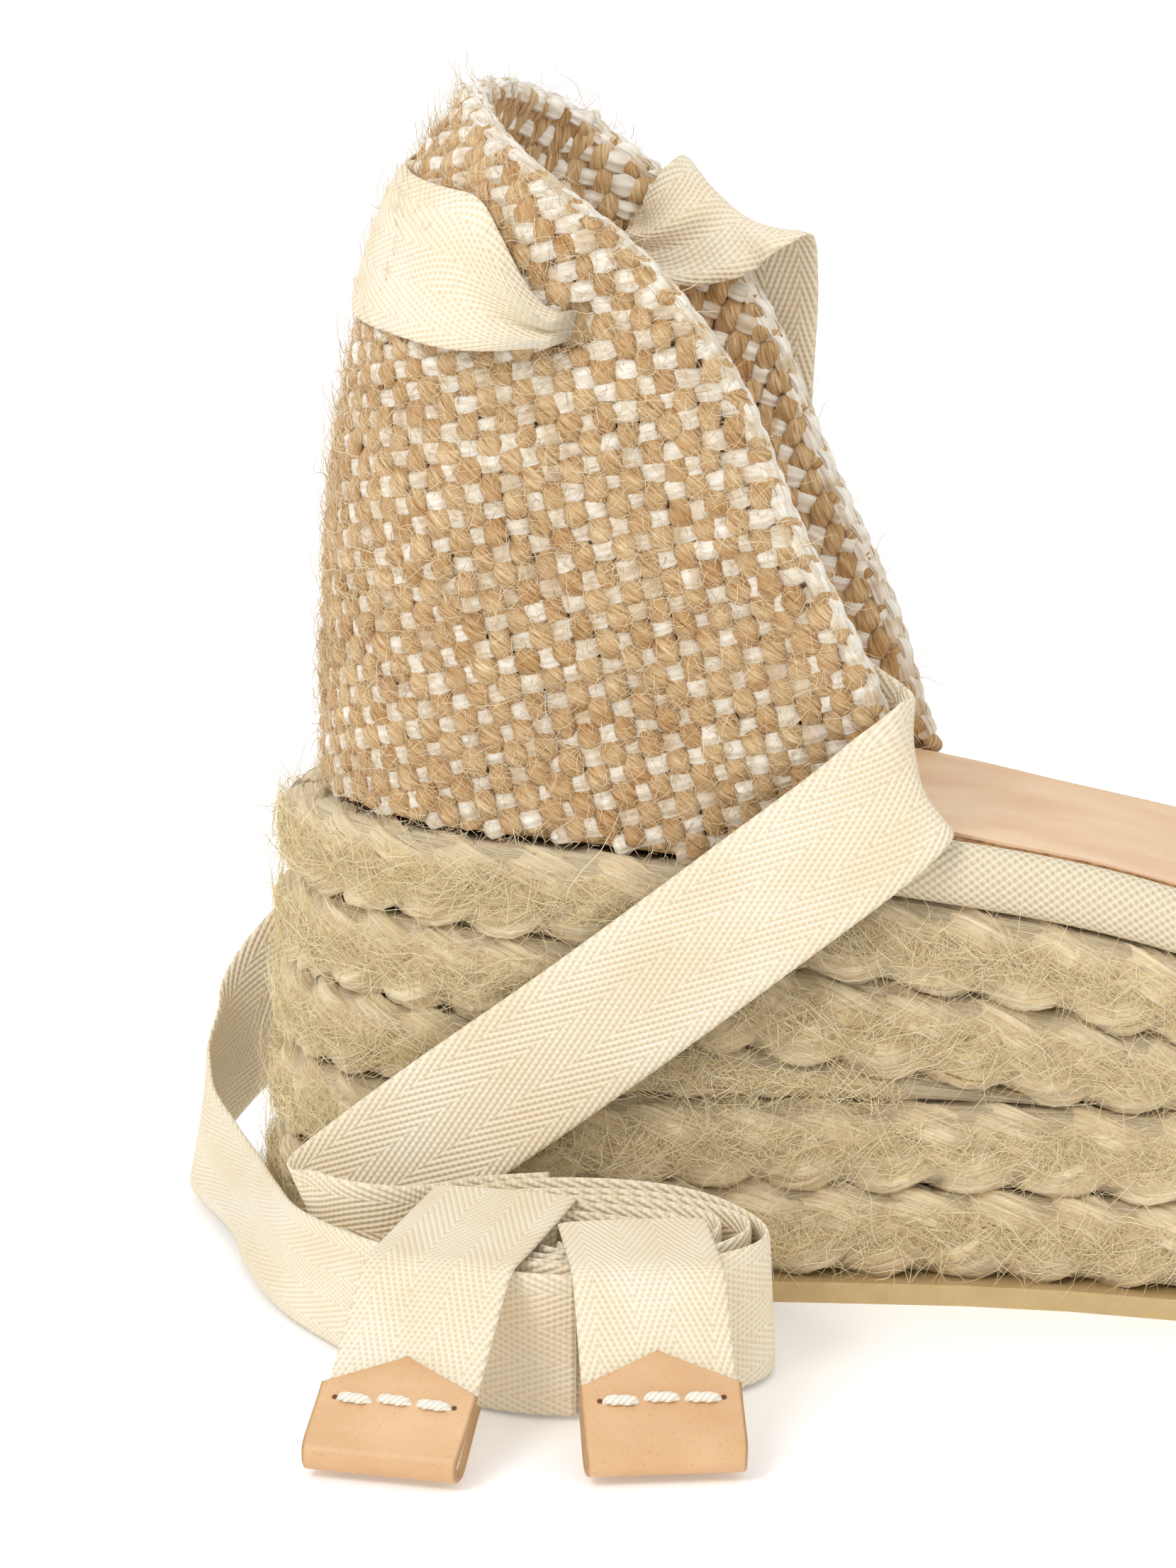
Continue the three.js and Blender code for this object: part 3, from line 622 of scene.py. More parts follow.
def darker_sides(m):
    beside = m.maths("DIVIDE", m.maths("ABSOLUTE", m.tex_axes()[1]), TIP_HALF_WIDTH)
    return m.ramp(beside, (0.95, *WHITE), (0.99, 206, 196, 184))


def canvas_material():
    """Cream canvas in a basket weave of fine paired yarns."""
    m = Shader("canvas", roughness=0.85, sheen=0.15)
    x, y, _ = m.tex_axes()
    checks = m.times(m.wave(x, 1.5), m.wave(y, 1.25))
    height = m.times_plus(m.tex_noise(2.0, 2.0, 1.0, detail=3.0), 0.5, checks)
    lit = m.times_plus(height, 0.33, 0.35)
    m.colour(m.ramp(lit, (0.05, 198, 178, 142), (0.4, 232, 217, 188), (0.8, 244, 233, 210)))
    return m.bump(height, 0.2, 0.8).material


def rubber_material():
    """Crepe rubber, matt and slightly mottled."""
    m = Shader("outsole_rubber", roughness=0.62)
    mottle = m.place_noise(300, 300, 300, detail=4.0)
    spotted = m.ramp(mottle, (0.3, 182, 156, 108), (0.7, 206, 180, 134))
    m.colour(m.blend(m.place_noise(20, 20, 20, detail=1.0), spotted, linear(196, 170, 122)))
    return m.bump(mottle, 0.08, 0.4).material


def grainy_material(name, colour, dark):
    """Foam, board, felt or raw leather: one colour with small dark cells."""
    m = Shader(name, roughness=0.9)
    cells = m.place_noise(900, 900, 900)
    return m.colour(m.ramp(cells, (0.35, *dark), (0.6, *colour))).bump(cells, 0.1, 0.5).material


def thread_material():
    """Waxed two-ply sewing thread, with painted shade in the grooves between its plies."""
    m = Shader("thread", roughness=0.5, sheen=0.1)
    x, y, _ = m.tex_axes()
    twist = m.wave(m.times_plus(x, 1.2, y), 1.0)
    # painted shade: the colour follows the twist, darker in the grooves between the plies and paler on their
    # crowns
    m.colour(m.ramp(m.times_plus(twist, 0.5, 0.5), (0.0, 230, 219, 196), (0.6, 248, 243, 230)))
    return m.bump(twist, 0.1, 0.8).material


ROPE = jute_rope_material()
ROPE_HAIR = fibre_material("rope_hair", (232, 204, 148), (255, 244, 208))
YARN = jute_yarn_material()
YARN_HAIR = fibre_material("yarn_hair", (206, 168, 112), (255, 240, 208))
COTTON = cotton_yarn_material()
TAPE = tape_material()
CANVAS = canvas_material()
THREAD = thread_material()
TIP_COLOURS = ((208, 165, 119), (217, 176, 131), (225, 187, 144))
TIP_LEATHER = leather_material("tip_leather", *TIP_COLOURS, 0.42, (needle_holes, darker_sides))
BED_COLOURS = ((228, 188, 148), (234, 198, 158), (242, 212, 176))
BED_LEATHER = leather_material("footbed_leather", *BED_COLOURS, 0.48)
RAW_EDGE = grainy_material("leather_raw_edge", (176, 132, 88), (120, 82, 48))
FELT = grainy_material("interlining", (206, 178, 134), (170, 138, 92))

# ---- Camera, lights and floor ---------------------------------------------------------

CAMERA_FROM = Vector((8.0, -880.25, 299.3)) * MM
CAMERA_AT = Vector((-75.4, -14.15, 69.4)) * MM
LIGHT_AT = Vector((-0.03, 0, 0.06))
LENS = 149.4
WORLD_STRENGTH = 0.86
FLOOR_HALF = 3.0
FLOOR_GLOW = 0.14
LIGHTS = (  # name, place, size and power
    ("key", (-0.75, -0.95, 1.15), 0.6, 8),
    ("fill", (1.0, -0.9, 0.6), 1.2, 1.2),
    ("top", (0.1, 0.35, 1.4), 1.0, 1.5),
)


def aimed(name, data, place, target):
    """A camera or light at a place, turned to a target."""
    made = bpy.data.objects.new(name, data)
    made.location = place
    made.rotation_euler = (target - Vector(place)).to_track_quat("-Z", "Y").to_euler()
    bpy.context.scene.collection.objects.link(made)
    return made


def make_camera():
    data = bpy.data.cameras.new("camera")
    data.sensor_fit = "VERTICAL"
    data.sensor_height = 36.0
    data.lens = LENS
    data.clip_start, data.clip_end = 0.05, 20.0
    bpy.context.scene.camera = aimed("camera", data, CAMERA_FROM, CAMERA_AT)


def make_studio():
    world = bpy.data.worlds.new("studio")
    world.use_nodes = True
    background = world.node_tree.nodes["Background"]
    background.inputs["Color"].default_value = (1, 1, 1, 1)
    background.inputs["Strength"].default_value = WORLD_STRENGTH
    bpy.context.scene.world = world
    bpy.context.scene.view_settings.view_transform = "Standard"
    for name, place, size, power in LIGHTS:
        data = bpy.data.lights.new(name, "AREA")
        data.shape = "SQUARE"
        data.size = size
        data.energy = power
        aimed(name, data, place, LIGHT_AT)


def make_floor():
    paint = Shader("floor", roughness=0.9)
    paint.colour(paint.ramp(paint.place_noise(3, 3, 3), (0.0, 252, 252, 252), (1.0, *WHITE)))
    paint.surface.inputs["Emission Color"].default_value = (1, 1, 1, 1)
    paint.surface.inputs["Emission Strength"].default_value = FLOOR_GLOW
    corners = np.array([[-1, -1, 0], [1, -1, 0], [1, 1, 0], [-1, 1, 0]]) * FLOOR_HALF
    floor = make_mesh("floor", corners, np.array([[0, 1, 2, 3]]), np.zeros((4, 3)), paint.material)


make_camera()
make_studio()
make_floor()
# ---- Rope wedge -----------------------------------------------------------------------

FIRST_TOP = RUBBER + PITCH
MIDDLE_STARTS = {1: 0.0, 3: PITCH, 2: 2 * PITCH}  # above the first layer, of the ones that run out
STRANDS = 3
STRAND_SIDES = 36
STRAND_STEP = 1.0
STRAND_RADIUS = 3.3
STRAND_SHARE = 0.285  # a strand's radius as a share of a thinner layer
STRAND_GIRTH = TURN * 3.1
WAVELENGTH = (33.0, 36.0, 32.0, 34.0, 35.0)  # of each layer's plait
CENTRE_SHARE = (0.52, 0.46, 0.5, 0.45, 0.44)  # height of each plait's centre line
BRAID_MIDDLE = 6.1  # depth of a plait's centre inside the outline
BRAID_DEPTH = 2.5  # how far its strands swing in and out
RIDGES = ((3, 0.05), (5, 0.06), (8, 0.065), (11, 0.055), (15, 0.04))  # how many round a strand, how high
# insets of the filling's section, and their heights as shares of the layer's
FILLING = ((4.0, 0.06), (3.4, 0.25), (3.4, 0.75), (4.0, 0.94), (11.0, 0.94), (11.0, 0.06))


def layer_thickness(index, x):
    if index not in MIDDLE_STARTS:
        return np.full(np.shape(x), PITCH)
    return np.clip(rope_top(x) - PITCH - FIRST_TOP - MIDDLE_STARTS[index], 0, PITCH)


def layer_low(index, x):
    return RUBBER + sum(layer_thickness(i, x) for i in range(index))


def braid_line(index):
    """Distances along the rim at which a layer's plait is drawn, and whether it is a full ring."""
    if index not in MIDDLE_STARTS:
        return np.linspace(0, RIM_LENGTH, int(RIM_LENGTH / STRAND_STEP), endpoint=False), True
    xs = np.linspace(0, SOLE_LENGTH, 400)
    reach = xs[layer_thickness(index, xs) > TAPER_END].max()
    start, stop = rim_run_at("inner", reach) - RIM_LENGTH, rim_run_at("outer", reach)
    return np.linspace(start, stop, int((stop - start) / STRAND_STEP)), False


def strand_ridges(rng, run):
    """Bundles of fibres standing out along a strand, twisting slowly round it."""
    turn = math.pi + np.linspace(0, TURN, STRAND_SIDES, endpoint=False)[None, :]
    total = np.ones((len(run), STRAND_SIDES))
    for ridges, amount in RIDGES:
        twist = 0.05 + rng.uniform(-0.02, 0.02)
        drift = waves(int(rng.integers(1e6)), 3, 9, 30)(run)
        strength = 1 + 0.6 * waves(int(rng.integers(1e6)), 3, 8, 24)(run)
        phase = (ridges * twist * run + 1.6 * drift)[:, None] + rng.uniform(0, 6.3)
        total += amount * strength[:, None] * np.cos(ridges * turn + phase)
    return total


def rope_filling(skin, index, run, closed):
    """The plait's inner fibres, seen between its strands."""
    rings = []
    for inset, share in FILLING:
        place, _ = along_rim(run, inset + index * LAYER_STEP)
        height = layer_low(index, place[:, 0]) + share * layer_thickness(index, place[:, 0])
        rings.append(np.column_stack([place, height]))
    skin.tube(np.stack(rings, 1), tube_coords(run, 30.0, len(FILLING), index + 0.9), closed)


def make_braid(index):
    rng = np.random.default_rng(40 + index)
    run, closed = braid_line(index)
    count = max(1, round((run[-1] - run[0]) / WAVELENGTH[index]))
    length = run[-1] - run[0] + (STRAND_STEP if closed else 0)
    guess, _ = along_rim(run, BRAID_MIDDLE)
    low, thick = layer_low(index, guess[:, 0]), layer_thickness(index, guess[:, 0])
    radius = np.minimum(STRAND_RADIUS, STRAND_SHARE * thick)
    swing = thick / 2 - radius + 0.1
    skin = Skin()
    for strand in range(STRANDS):
        turn = TURN * (count * (run - run[0]) / length + strand / STRANDS)
        if not closed:
            turn = turn + 0.12 * waves(index * 10 + strand, 4, 14, 60)(run)
        inset = BRAID_MIDDLE + index * LAYER_STEP + BRAID_DEPTH * (thick / PITCH) * np.sin(2 * turn)
        place, inward = along_rim(run, inset)
        height = low + thick * CENTRE_SHARE[index] + swing * np.sin(turn)
        height = np.clip(height, low + radius, low + thick - radius * 0.95)
        path = np.column_stack([place, height])
        side = np.column_stack([-inward, np.zeros(len(run))])
        rings = yarn_rings(path, side, radius * 0.88, radius * 1.12, STRAND_SIDES, strand_ridges(rng, run))
        if not closed:
            fade = smooth(np.minimum(run - run[0], run[-1] - run), 0, 5)[:, None, None]
            rings = path[:, None] + (rings - path[:, None]) * (0.3 + 0.7 * fade)
        run_on = path_run(path) + 900 * strand
        tone = index + strand / STRANDS
        skin.tube(rings, tube_coords(run_on, STRAND_GIRTH, STRAND_SIDES, tone), closed)
    rope_filling(skin, index, run, closed)
    settle(skin.make(f"rope_braid_{index + 1}", ROPE), nodes=[f"rope_layer_{index + 1}"])


HAIR_STEPS = 6
HAIR_SIDES = 3


def hair_skin(base, along, out, length, lift, radius, curl, rng):
    """Many loose hairs at once, as three-sided tubes that taper to their ends."""
    count = len(base)
    third = np.cross(along, out)
    length, lift, radius = (size[:, None, None] for size in (length, lift, radius))
    t = np.linspace(0, 1, HAIR_STEPS)[None, :, None]
    sway = rng.normal(0, 1, (2, count, 1, 1))
    bend = rng.uniform(-1, 1, (2, count, 1, 1)) * curl
    rise = np.sin(math.pi * np.clip(t * rng.uniform(0.55, 1.0, (count, 1, 1)), 0, 1))
    aside = bend[0] * t**2 + 0.25 * curl * sway[0] * np.sin(t * 7)
    path = base[:, None] + along[:, None] * t * length + out[:, None] * lift * rise
    path = path + third[:, None] * aside * length + out[:, None] * 0.08 * bend[1] * t**2 * length
    tangent = unit(np.gradient(path, axis=1))
    one = unit(np.cross(tangent, np.array([0.31, 0.52, 0.79])))
    two = np.cross(tangent, one)
    angle = (np.arange(HAIR_SIDES) * TURN / HAIR_SIDES)[:, None]
    spokes = one[:, :, None] * np.cos(angle) + two[:, :, None] * np.sin(angle)
    rings = path[:, :, None] + ((1 - 0.75 * t**2) * radius)[..., None] * spokes
    rings[..., 2] = np.maximum(rings[..., 2], 0.3)
    grid = np.arange(count * HAIR_STEPS * HAIR_SIDES).reshape(count, HAIR_STEPS, HAIR_SIDES)
    first, last = grid[:, 0][:, [2, 1, 0, 0]], grid[:, -1][:, [0, 1, 2, 2]]
    coords = np.zeros((count, HAIR_STEPS, HAIR_SIDES, 3))
    coords[..., 2] = rng.random(count)[:, None, None] ** 0.7
    return Skin().add(rings, coords, np.vstack([ring_quads(grid[:, :-1], grid[:, 1:]), first, last]))


ROPE_HAIR_GROUPS = 6
ROPE_HAIRS = 5600  # in each group, before those on a thin layer are left out
HAIR_FLOOR = 3.5  # the thinnest layer that carries hairs


def rope_hair(group):
    """Loose jute fibres that curl over the outside of the braids."""
    rng = np.random.default_rng(group)
    index = rng.choice(ROPE_LAYERS, ROPE_HAIRS)
    run = rng.uniform(0, RIM_LENGTH, ROPE_HAIRS)
    guess, _ = along_rim(run, 2.0)
    thick = np.array([float(layer_thickness(i, x)) for i, x in zip(index, guess[:, 0])])
    keep = thick > HAIR_FLOOR
    index, run, thick = index[keep], run[keep], thick[keep]
    count = len(run)
    flat = np.zeros(count)
    place, inward = along_rim(run, 0.6 + index * LAYER_STEP + rng.uniform(0, 0.6, count))
    low = np.array([float(layer_low(i, x)) for i, x in zip(index, place[:, 0])])
    height = low + thick * rng.uniform(0.12, 0.92, count)
    base = np.column_stack([place, height])
    out = np.column_stack([-inward, flat])
    level = np.column_stack([-inward[:, 1], inward[:, 0], flat])
    upper = height - low > thick / 2
    slant = np.where(upper, -1.0, 1.0) * rng.uniform(0.3, 1.8, count) + rng.normal(0, 0.4, count)
    ahead = rng.choice([-1, 1], count, p=[0.3, 0.7])[:, None]
    along = unit(level * ahead + np.outer(slant, [0, 0, 1]))
    length = np.minimum(rng.gamma(2.6, 2.1, count) + 1.5, 17)
    lift = rng.uniform(0.0, 0.13, count) ** 1.5 * 2.2 * length + 0.2
    radius = rng.uniform(0.035, 0.075, count)
    hairs = hair_skin(base, along, out, length, lift, radius, 0.35, rng)
    settle(hairs.make(f"rope_hairs_{group + 1}", ROPE_HAIR))


for layer in range(ROPE_LAYERS):
    make_braid(layer)
for hair_group in range(ROPE_HAIR_GROUPS):
    rope_hair(hair_group)

# ---- Woven cloth ----------------------------------------------------------------------

WEFT_SLOPE = math.radians(15)
CLOTH_MIDDLE = 1.0  # depth of the cloth's mid plane below its face
PLY_TWIST = 5.2  # length in which a jute yarn's two plies go round it once
JUTE = {"pitch": 2.7, "steps": 5, "lift": 0.58, "uneven": 0.1, "halves": (0.76, 1.5), "girth": 7.0}
WEFT = {"pitch": 3.15, "steps": 4, "lift": 0.4, "uneven": 0.16, "halves": (0.62, 1.38), "girth": 6.6}
WEFT_SQUARENESS = 0.75


def runs_of(mask, shortest):
    """Start and stop indices of each unbroken stretch of a mask."""
    edges = np.flatnonzero(np.diff(np.concatenate([[0], mask.astype(int), [0]])))
    return [(a, b) for a, b in zip(edges[::2], edges[1::2]) if b - a >= shortest]


def weave(surface, inside, box, face_depth, out_sign, seed, sides, slope=WEFT_SLOPE, mirrored=1.0):
    """Jute and cotton skins of a plain weave laid on surface(u, v, depth), in mm.

    inside(u, v) says where there is cloth; box is (u0, v0, u1, v1). out_sign is 1 where a
    smaller depth is outside, and -1 on an inner face.
    """
    rng = np.random.default_rng(seed)
    cos, sin = math.cos(slope), math.sin(slope)
    corners = np.array([(u, v) for u in box[::2] for v in box[1::2]], float)
    along_weft = corners[:, 0] * mirrored * cos + corners[:, 1] * sin
    along_warp = -corners[:, 0] * mirrored * sin + corners[:, 1] * cos
    drift_a, drift_b = waves(seed + 1, 5, 22, 70), waves(seed + 2, 5, 18, 60)
    paleness = waves(seed + 3, 5, 25, 80)
    turn = math.pi + np.linspace(0, TURN, sides, endpoint=False)[None, :]
    skins = []
    for is_jute, yarn, other in ((True, JUTE, WEFT), (False, WEFT, JUTE)):
        across, lengthways = (along_weft, along_warp) if is_jute else (along_warp, along_weft)
        pitch, start = yarn["pitch"], lengthways.min()
        skin = Skin()
        for i in range(math.floor(across.min() / pitch), math.ceil(across.max() / pitch) + 1):
            s = np.arange(start, lengthways.max(), other["pitch"] / yarn["steps"])
            centre = (i + 0.5) * pitch
            wander = 0.35 * drift_a(s + 3 * centre) + 0.3 * drift_b(centre + 0.5 * s)
            p, q = (centre + wander, s) if is_jute else (s, centre + wander)
            u, v = (p * cos - q * sin) * mirrored, p * sin + q * cos
            # over where the crossing's row and column are both odd or both even
            cross = np.cos(math.pi * (s / other["pitch"] - 0.5 + i + (0 if is_jute else 1)))
            lift = yarn["lift"] * np.sign(cross) * np.abs(cross) ** 0.8
            if not is_jute:
                paler = smooth(v, up(0.25), up(0.95)) + 0.5 * paleness(u + 1.7 * v)
                lift = lift - 0.27 + 0.4 * paler - 0.14 * waves(seed * 5 + i, 6, 4, 15)(s)
            tone = rng.random() * 20
            fat = 1 + yarn["uneven"] * waves(seed * 7 + i, 5, 4, 25)(s)
            for a, b in runs_of(inside(u, v), 3):
                piece = slice(a, b)
                depth = face_depth + out_sign * (CLOTH_MIDDLE - lift[piece])
                path = surface(u[piece], v[piece], depth)
                side = unit(surface(u[piece], v[piece], depth - out_sign * 0.5) - path)
                swell = fat[piece] * (1 + 0.1 * np.maximum(cross[piece], 0))
                halves = [half * swell for half in yarn["halves"]]
                if is_jute:
                    ply = 1 + 0.1 * np.cos(2 * (turn + s[piece][:, None] * TURN / PLY_TWIST))
                    rings = yarn_rings(path, side, *halves, sides, ply)
                else:
                    rings = yarn_rings(path, side, *halves, sides, 1, WEFT_SQUARENESS)
                skin.tube(pinch_ends(rings, path), tube_coords(s[piece] - start, yarn["girth"], sides, tone))
        skins.append(skin)
    return skins


def shell(surface, us, rows, low, high):
    """A closed thin shell between two depths, over the rows of v at each u."""
    rings = np.array([np.vstack([surface(u, rows(u), low), surface(u, rows(u), high)[::-1]]) for u in us])
    share = np.linspace(0, 1, rings.shape[1] // 2)
    around = np.concatenate([share, share[::-1]]) * 60
    return Skin().tube(rings, coords_of(path_run(rings[:, 0]), around))


EDGE_PITCH = 2.9
COUNTER_EDGE = {
    "radius": COUNTER_THICKNESS / 2 - 1.1, "from": -0.22, "steps": 24, "lean": 0.55 * EDGE_PITCH,
    "ripple": 2.6, "depth": 0.34, "sides": 10, "jute": (0.6, 1.4), "uneven": 0.12,
    "rows": (18, 66, 114, 162), "row_lift": 0.05, "cotton": (0.6, 1.3), "seed": 31,
}
STRAP_EDGE = {
    "radius": VAMP_THICKNESS / 2 - 0.3, "from": -0.2, "steps": 18, "lean": 0.0,
    "ripple": 2.4, "depth": 0.35, "sides": 9, "jute": (0.65, 1.45), "uneven": 0.0,
    "rows": (25, 90, 155), "row_lift": 0.1, "cotton": (0.55, 1.25), "seed": 7,
}


def wrapped_edge(name, line, out, crown, edge):
    """A cloth's folded edge: jute yarns wrapped over it, cotton ones woven in along it.

    line is the middle of the fold, out the direction from the inner face to the outer, and
    crown the way that the fold faces. Angles round the fold start at out.
    """
    jute, cotton = Skin(), Skin()
    run = path_run(line)
    total = run[-1]
    rng = np.random.default_rng(edge["seed"])
    count = int(total / EDGE_PITCH)
    radius, ripple, sides = edge["radius"], edge["ripple"], edge["sides"]
    turns = np.linspace(edge["from"] * math.pi, (1 - edge["from"]) * math.pi, edge["steps"])

    def fold(at, turn, reach):
        middle = sample(run, line, at)
        outward, ahead = unit(sample(run, out, at)), unit(sample(run, crown, at))
        across, along = (reach * np.cos(turn))[:, None], (reach * np.sin(turn))[:, None]
        path = middle + outward * across + ahead * along
        return path, unit(path - middle)

    for i in range(count):
        spots = (i + 0.5) * total / count + edge["lean"] * np.sin(turns * 0.7 - 0.5)
        path, side = fold(spots, turns, radius + edge["depth"] * np.cos(turns * ripple + math.pi * (i % 2)))
        swell = 1 + edge["uneven"] * rng.uniform(-1, 1) if edge["uneven"] else 1
        rings = yarn_rings(path, side, *(half * swell for half in edge["jute"]), sides)
        coords = tube_coords(path_run(path) + 40 * i, JUTE["girth"], sides, rng.random() * 20)
        jute.tube(pinch_ends(rings, path), coords)
    for degrees in edge["rows"]:
        turn = math.radians(degrees)
        s = np.arange(0.5, total - 0.5, EDGE_PITCH / 5)
        wave = np.cos(math.pi * s * count / total + math.pi * 1.5 - turn * ripple)
        path, side = fold(s, turn, radius + edge["row_lift"] + edge["depth"] * wave)
        rings = yarn_rings(path, side, *edge["cotton"], sides, 1, WEFT_SQUARENESS)
        cotton.tube(pinch_ends(rings, path), tube_coords(s, WEFT["girth"], sides, rng.random() * 20))
    return [jute.make(f"{name}_jute", YARN), cotton.make(f"{name}_cotton", COTTON)]


def woven_faces(name, faces):
    """The yarns of each of a cloth's faces, given as (face, its two skins, its CAD node)."""
    pieces = []
    for face, (jute, cotton), node in faces:
        pieces.append(jute.make(f"{name}_{face}_jute", YARN))
        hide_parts(node)
        pieces.append(cotton.make(f"{name}_{face}_cotton", COTTON))
    return pieces


# ---- Heel counter ---------------------------------------------------------------------

WALL_END = WALL_REACH - 1.2
COUNTER_FUZZ = 5600


def in_counter(margin_top, margin_foot):
    def inside(around, z):
        reach = np.abs(around) < WALL_REACH - 1.0
        clipped = np.clip(around, -WALL_REACH, WALL_REACH)
        between = (z < counter_top(clipped) - margin_top) & (z > counter_foot(clipped) + margin_foot)
        beside = np.abs(np.abs(around) - SLIT_AROUND) < SLIT_WIDTH / 2 + 0.6
        slit = beside & (np.abs(z - SLIT_Z + 2.5) < SLIT_LENGTH / 2 - 3)
        return reach & between & ~slit

    return inside


def counter_cloth():
    box = (-WALL_REACH, up(-0.15), WALL_REACH, up(1.02))
    outer = weave(counter_point, in_counter(0.8, 0.9), box, 0.0, 1, 11, 10, mirrored=-1.0)
    inner = weave(counter_point, in_counter(1.2, 9.5), box, COUNTER_THICKNESS, -1, 23, 8, mirrored=-1.0)
    return woven_faces("counter", (("outer", outer, "counter_outer"), ("lining", inner, "counter_lining")))


def counter_edge():
    around = np.linspace(-WALL_END, WALL_END, 500)
    z = counter_top(around) - COUNTER_EDGE["radius"] - 0.9
    line = counter_point(around, z, COUNTER_THICKNESS / 2)
    out = unit(counter_point(around, z, 0) - line)
    crown = unit(np.cross(unit(np.gradient(line, axis=0)), out))
    crown = crown * np.sign(crown[:, 2:3] + 1e-6)
    return wrapped_edge("counter_top_edge", line, out, crown, COUNTER_EDGE)


def counter_fuzz(patch):
    """Short jute fibres on the counter's outer face."""
    rng = np.random.default_rng(5 + patch)
    around = rng.uniform(-WALL_REACH + 2, WALL_REACH - 2, COUNTER_FUZZ * 2)
    z = rng.uniform(up(-0.1), up(1), COUNTER_FUZZ * 2)
    keep = in_counter(0.0, 0.5)(around, z)
    around, z = around[keep][:COUNTER_FUZZ], z[keep][:COUNTER_FUZZ]
    base = counter_point(around, z, 0.1)
    out = unit(counter_point(around, z, -1.0) - base)
    side = unit(counter_point(around + 0.5, z, 0.1) - base)
    angle = rng.uniform(0, TURN, len(base))[:, None]
    along = unit(side * np.cos(angle) + np.cross(side, out) * np.sin(angle))
    length = np.minimum(rng.gamma(2.2, 1.1, len(base)) + 1.0, 8)
    lift = rng.uniform(0.1, 0.3, len(base)) * length
    radius = rng.uniform(0.03, 0.06, len(base))
    hairs = hair_skin(base, along, out, length, lift, radius, 0.5, rng)
    return hairs.make(f"counter_fuzz_{patch + 1}", YARN_HAIR)


def counter_backing():
    """The stiff cloth between the two woven faces, which the light doesn't pass."""

    def rows(around):
        foot = float(counter_foot(around)) + 0.6
        return np.linspace(foot, max(float(counter_top(around)) - 1.2, foot + 0.4), 40)

    around = np.linspace(-WALL_END, WALL_END, 110)
    made = shell(counter_point, around, rows, 2.0, 2.4).make("counter_interlining_cloth", FELT)
    return settle(made, WITH_COUNTER, ["counter_interlining"])


def make_counter():
    cloth = [*counter_cloth(), *counter_edge(), *map(counter_fuzz, range(3))]
    for piece in cloth:
        settle(piece, WITH_COUNTER)
    counter_backing()


make_counter()

# ---- Toe strap ------------------------------------------------------------------------

VAMP_GIRTH = 150.0  # across the strap, foot to foot
VAMP_SLOPE = math.radians(4)
EDGE_POINTS = 400


def strap_surface(u, v, depth):
    return vamp_point(np.clip(u / (VAMP_GIRTH / 2), -1, 1), v, depth)


def in_strap(foot):
    def inside(u, v):
        return (np.abs(u) < VAMP_GIRTH / 2 - foot) & (v > VAMP_BACK + 1.0) & (v < VAMP_FRONT - 1.0)

    return inside


def make_toe_strap():
    box = (-VAMP_GIRTH / 2, VAMP_BACK, VAMP_GIRTH / 2, VAMP_FRONT)
    outer = weave(strap_surface, in_strap(0.8), box, 0.0, 1, 51, 9, VAMP_SLOPE)
    inner = weave(strap_surface, in_strap(8.0), box, VAMP_THICKNESS, -1, 52, 7, VAMP_SLOPE)
    pieces = woven_faces("toe_strap", (("outer", outer, "vamp_outer"), ("lining", inner, "vamp_lining")))
    across = np.linspace(-0.97, 0.97, EDGE_POINTS)
    for name, x, ahead in (("back", VAMP_BACK + 1.6, -1.0), ("front", VAMP_FRONT - 1.6, 1.0)):
        line = vamp_point(across, x, VAMP_THICKNESS / 2)
        out = unit(vamp_point(across, x, 0) - line)
        crown = np.tile([ahead, 0.0, 0.0], (EDGE_POINTS, 1))
        pieces += wrapped_edge(f"toe_strap_{name}_edge", line, out, crown, STRAP_EDGE)
    along = np.linspace(VAMP_BACK + 1.4, VAMP_FRONT - 1.4, 30)
    us = np.linspace(-VAMP_GIRTH / 2 + 1, VAMP_GIRTH / 2 - 1, 90)
    middle = VAMP_THICKNESS / 2
    skin = shell(strap_surface, us, lambda u: along, middle - 0.15, middle + 0.15)
    backing = skin.make("toe_strap_backing_cloth", FELT)
    for piece in [*pieces, backing]:
        settle(piece)


make_toe_strap()

# ---- Ankle tape -----------------------------------------------------------------------

TAPE_ACROSS = 26
TAPE_STEP = 0.9
ACROSS = np.cos(np.linspace(math.pi, 0, TAPE_ACROSS)) * 0.35 + np.linspace(-1, 1, TAPE_ACROSS) * 0.65
TAPE_HALF = np.sqrt(np.clip(1 - np.abs(ACROSS) ** 14, 0.12, 1)) * TAPE_THICKNESS / 2  # thinner at its sides

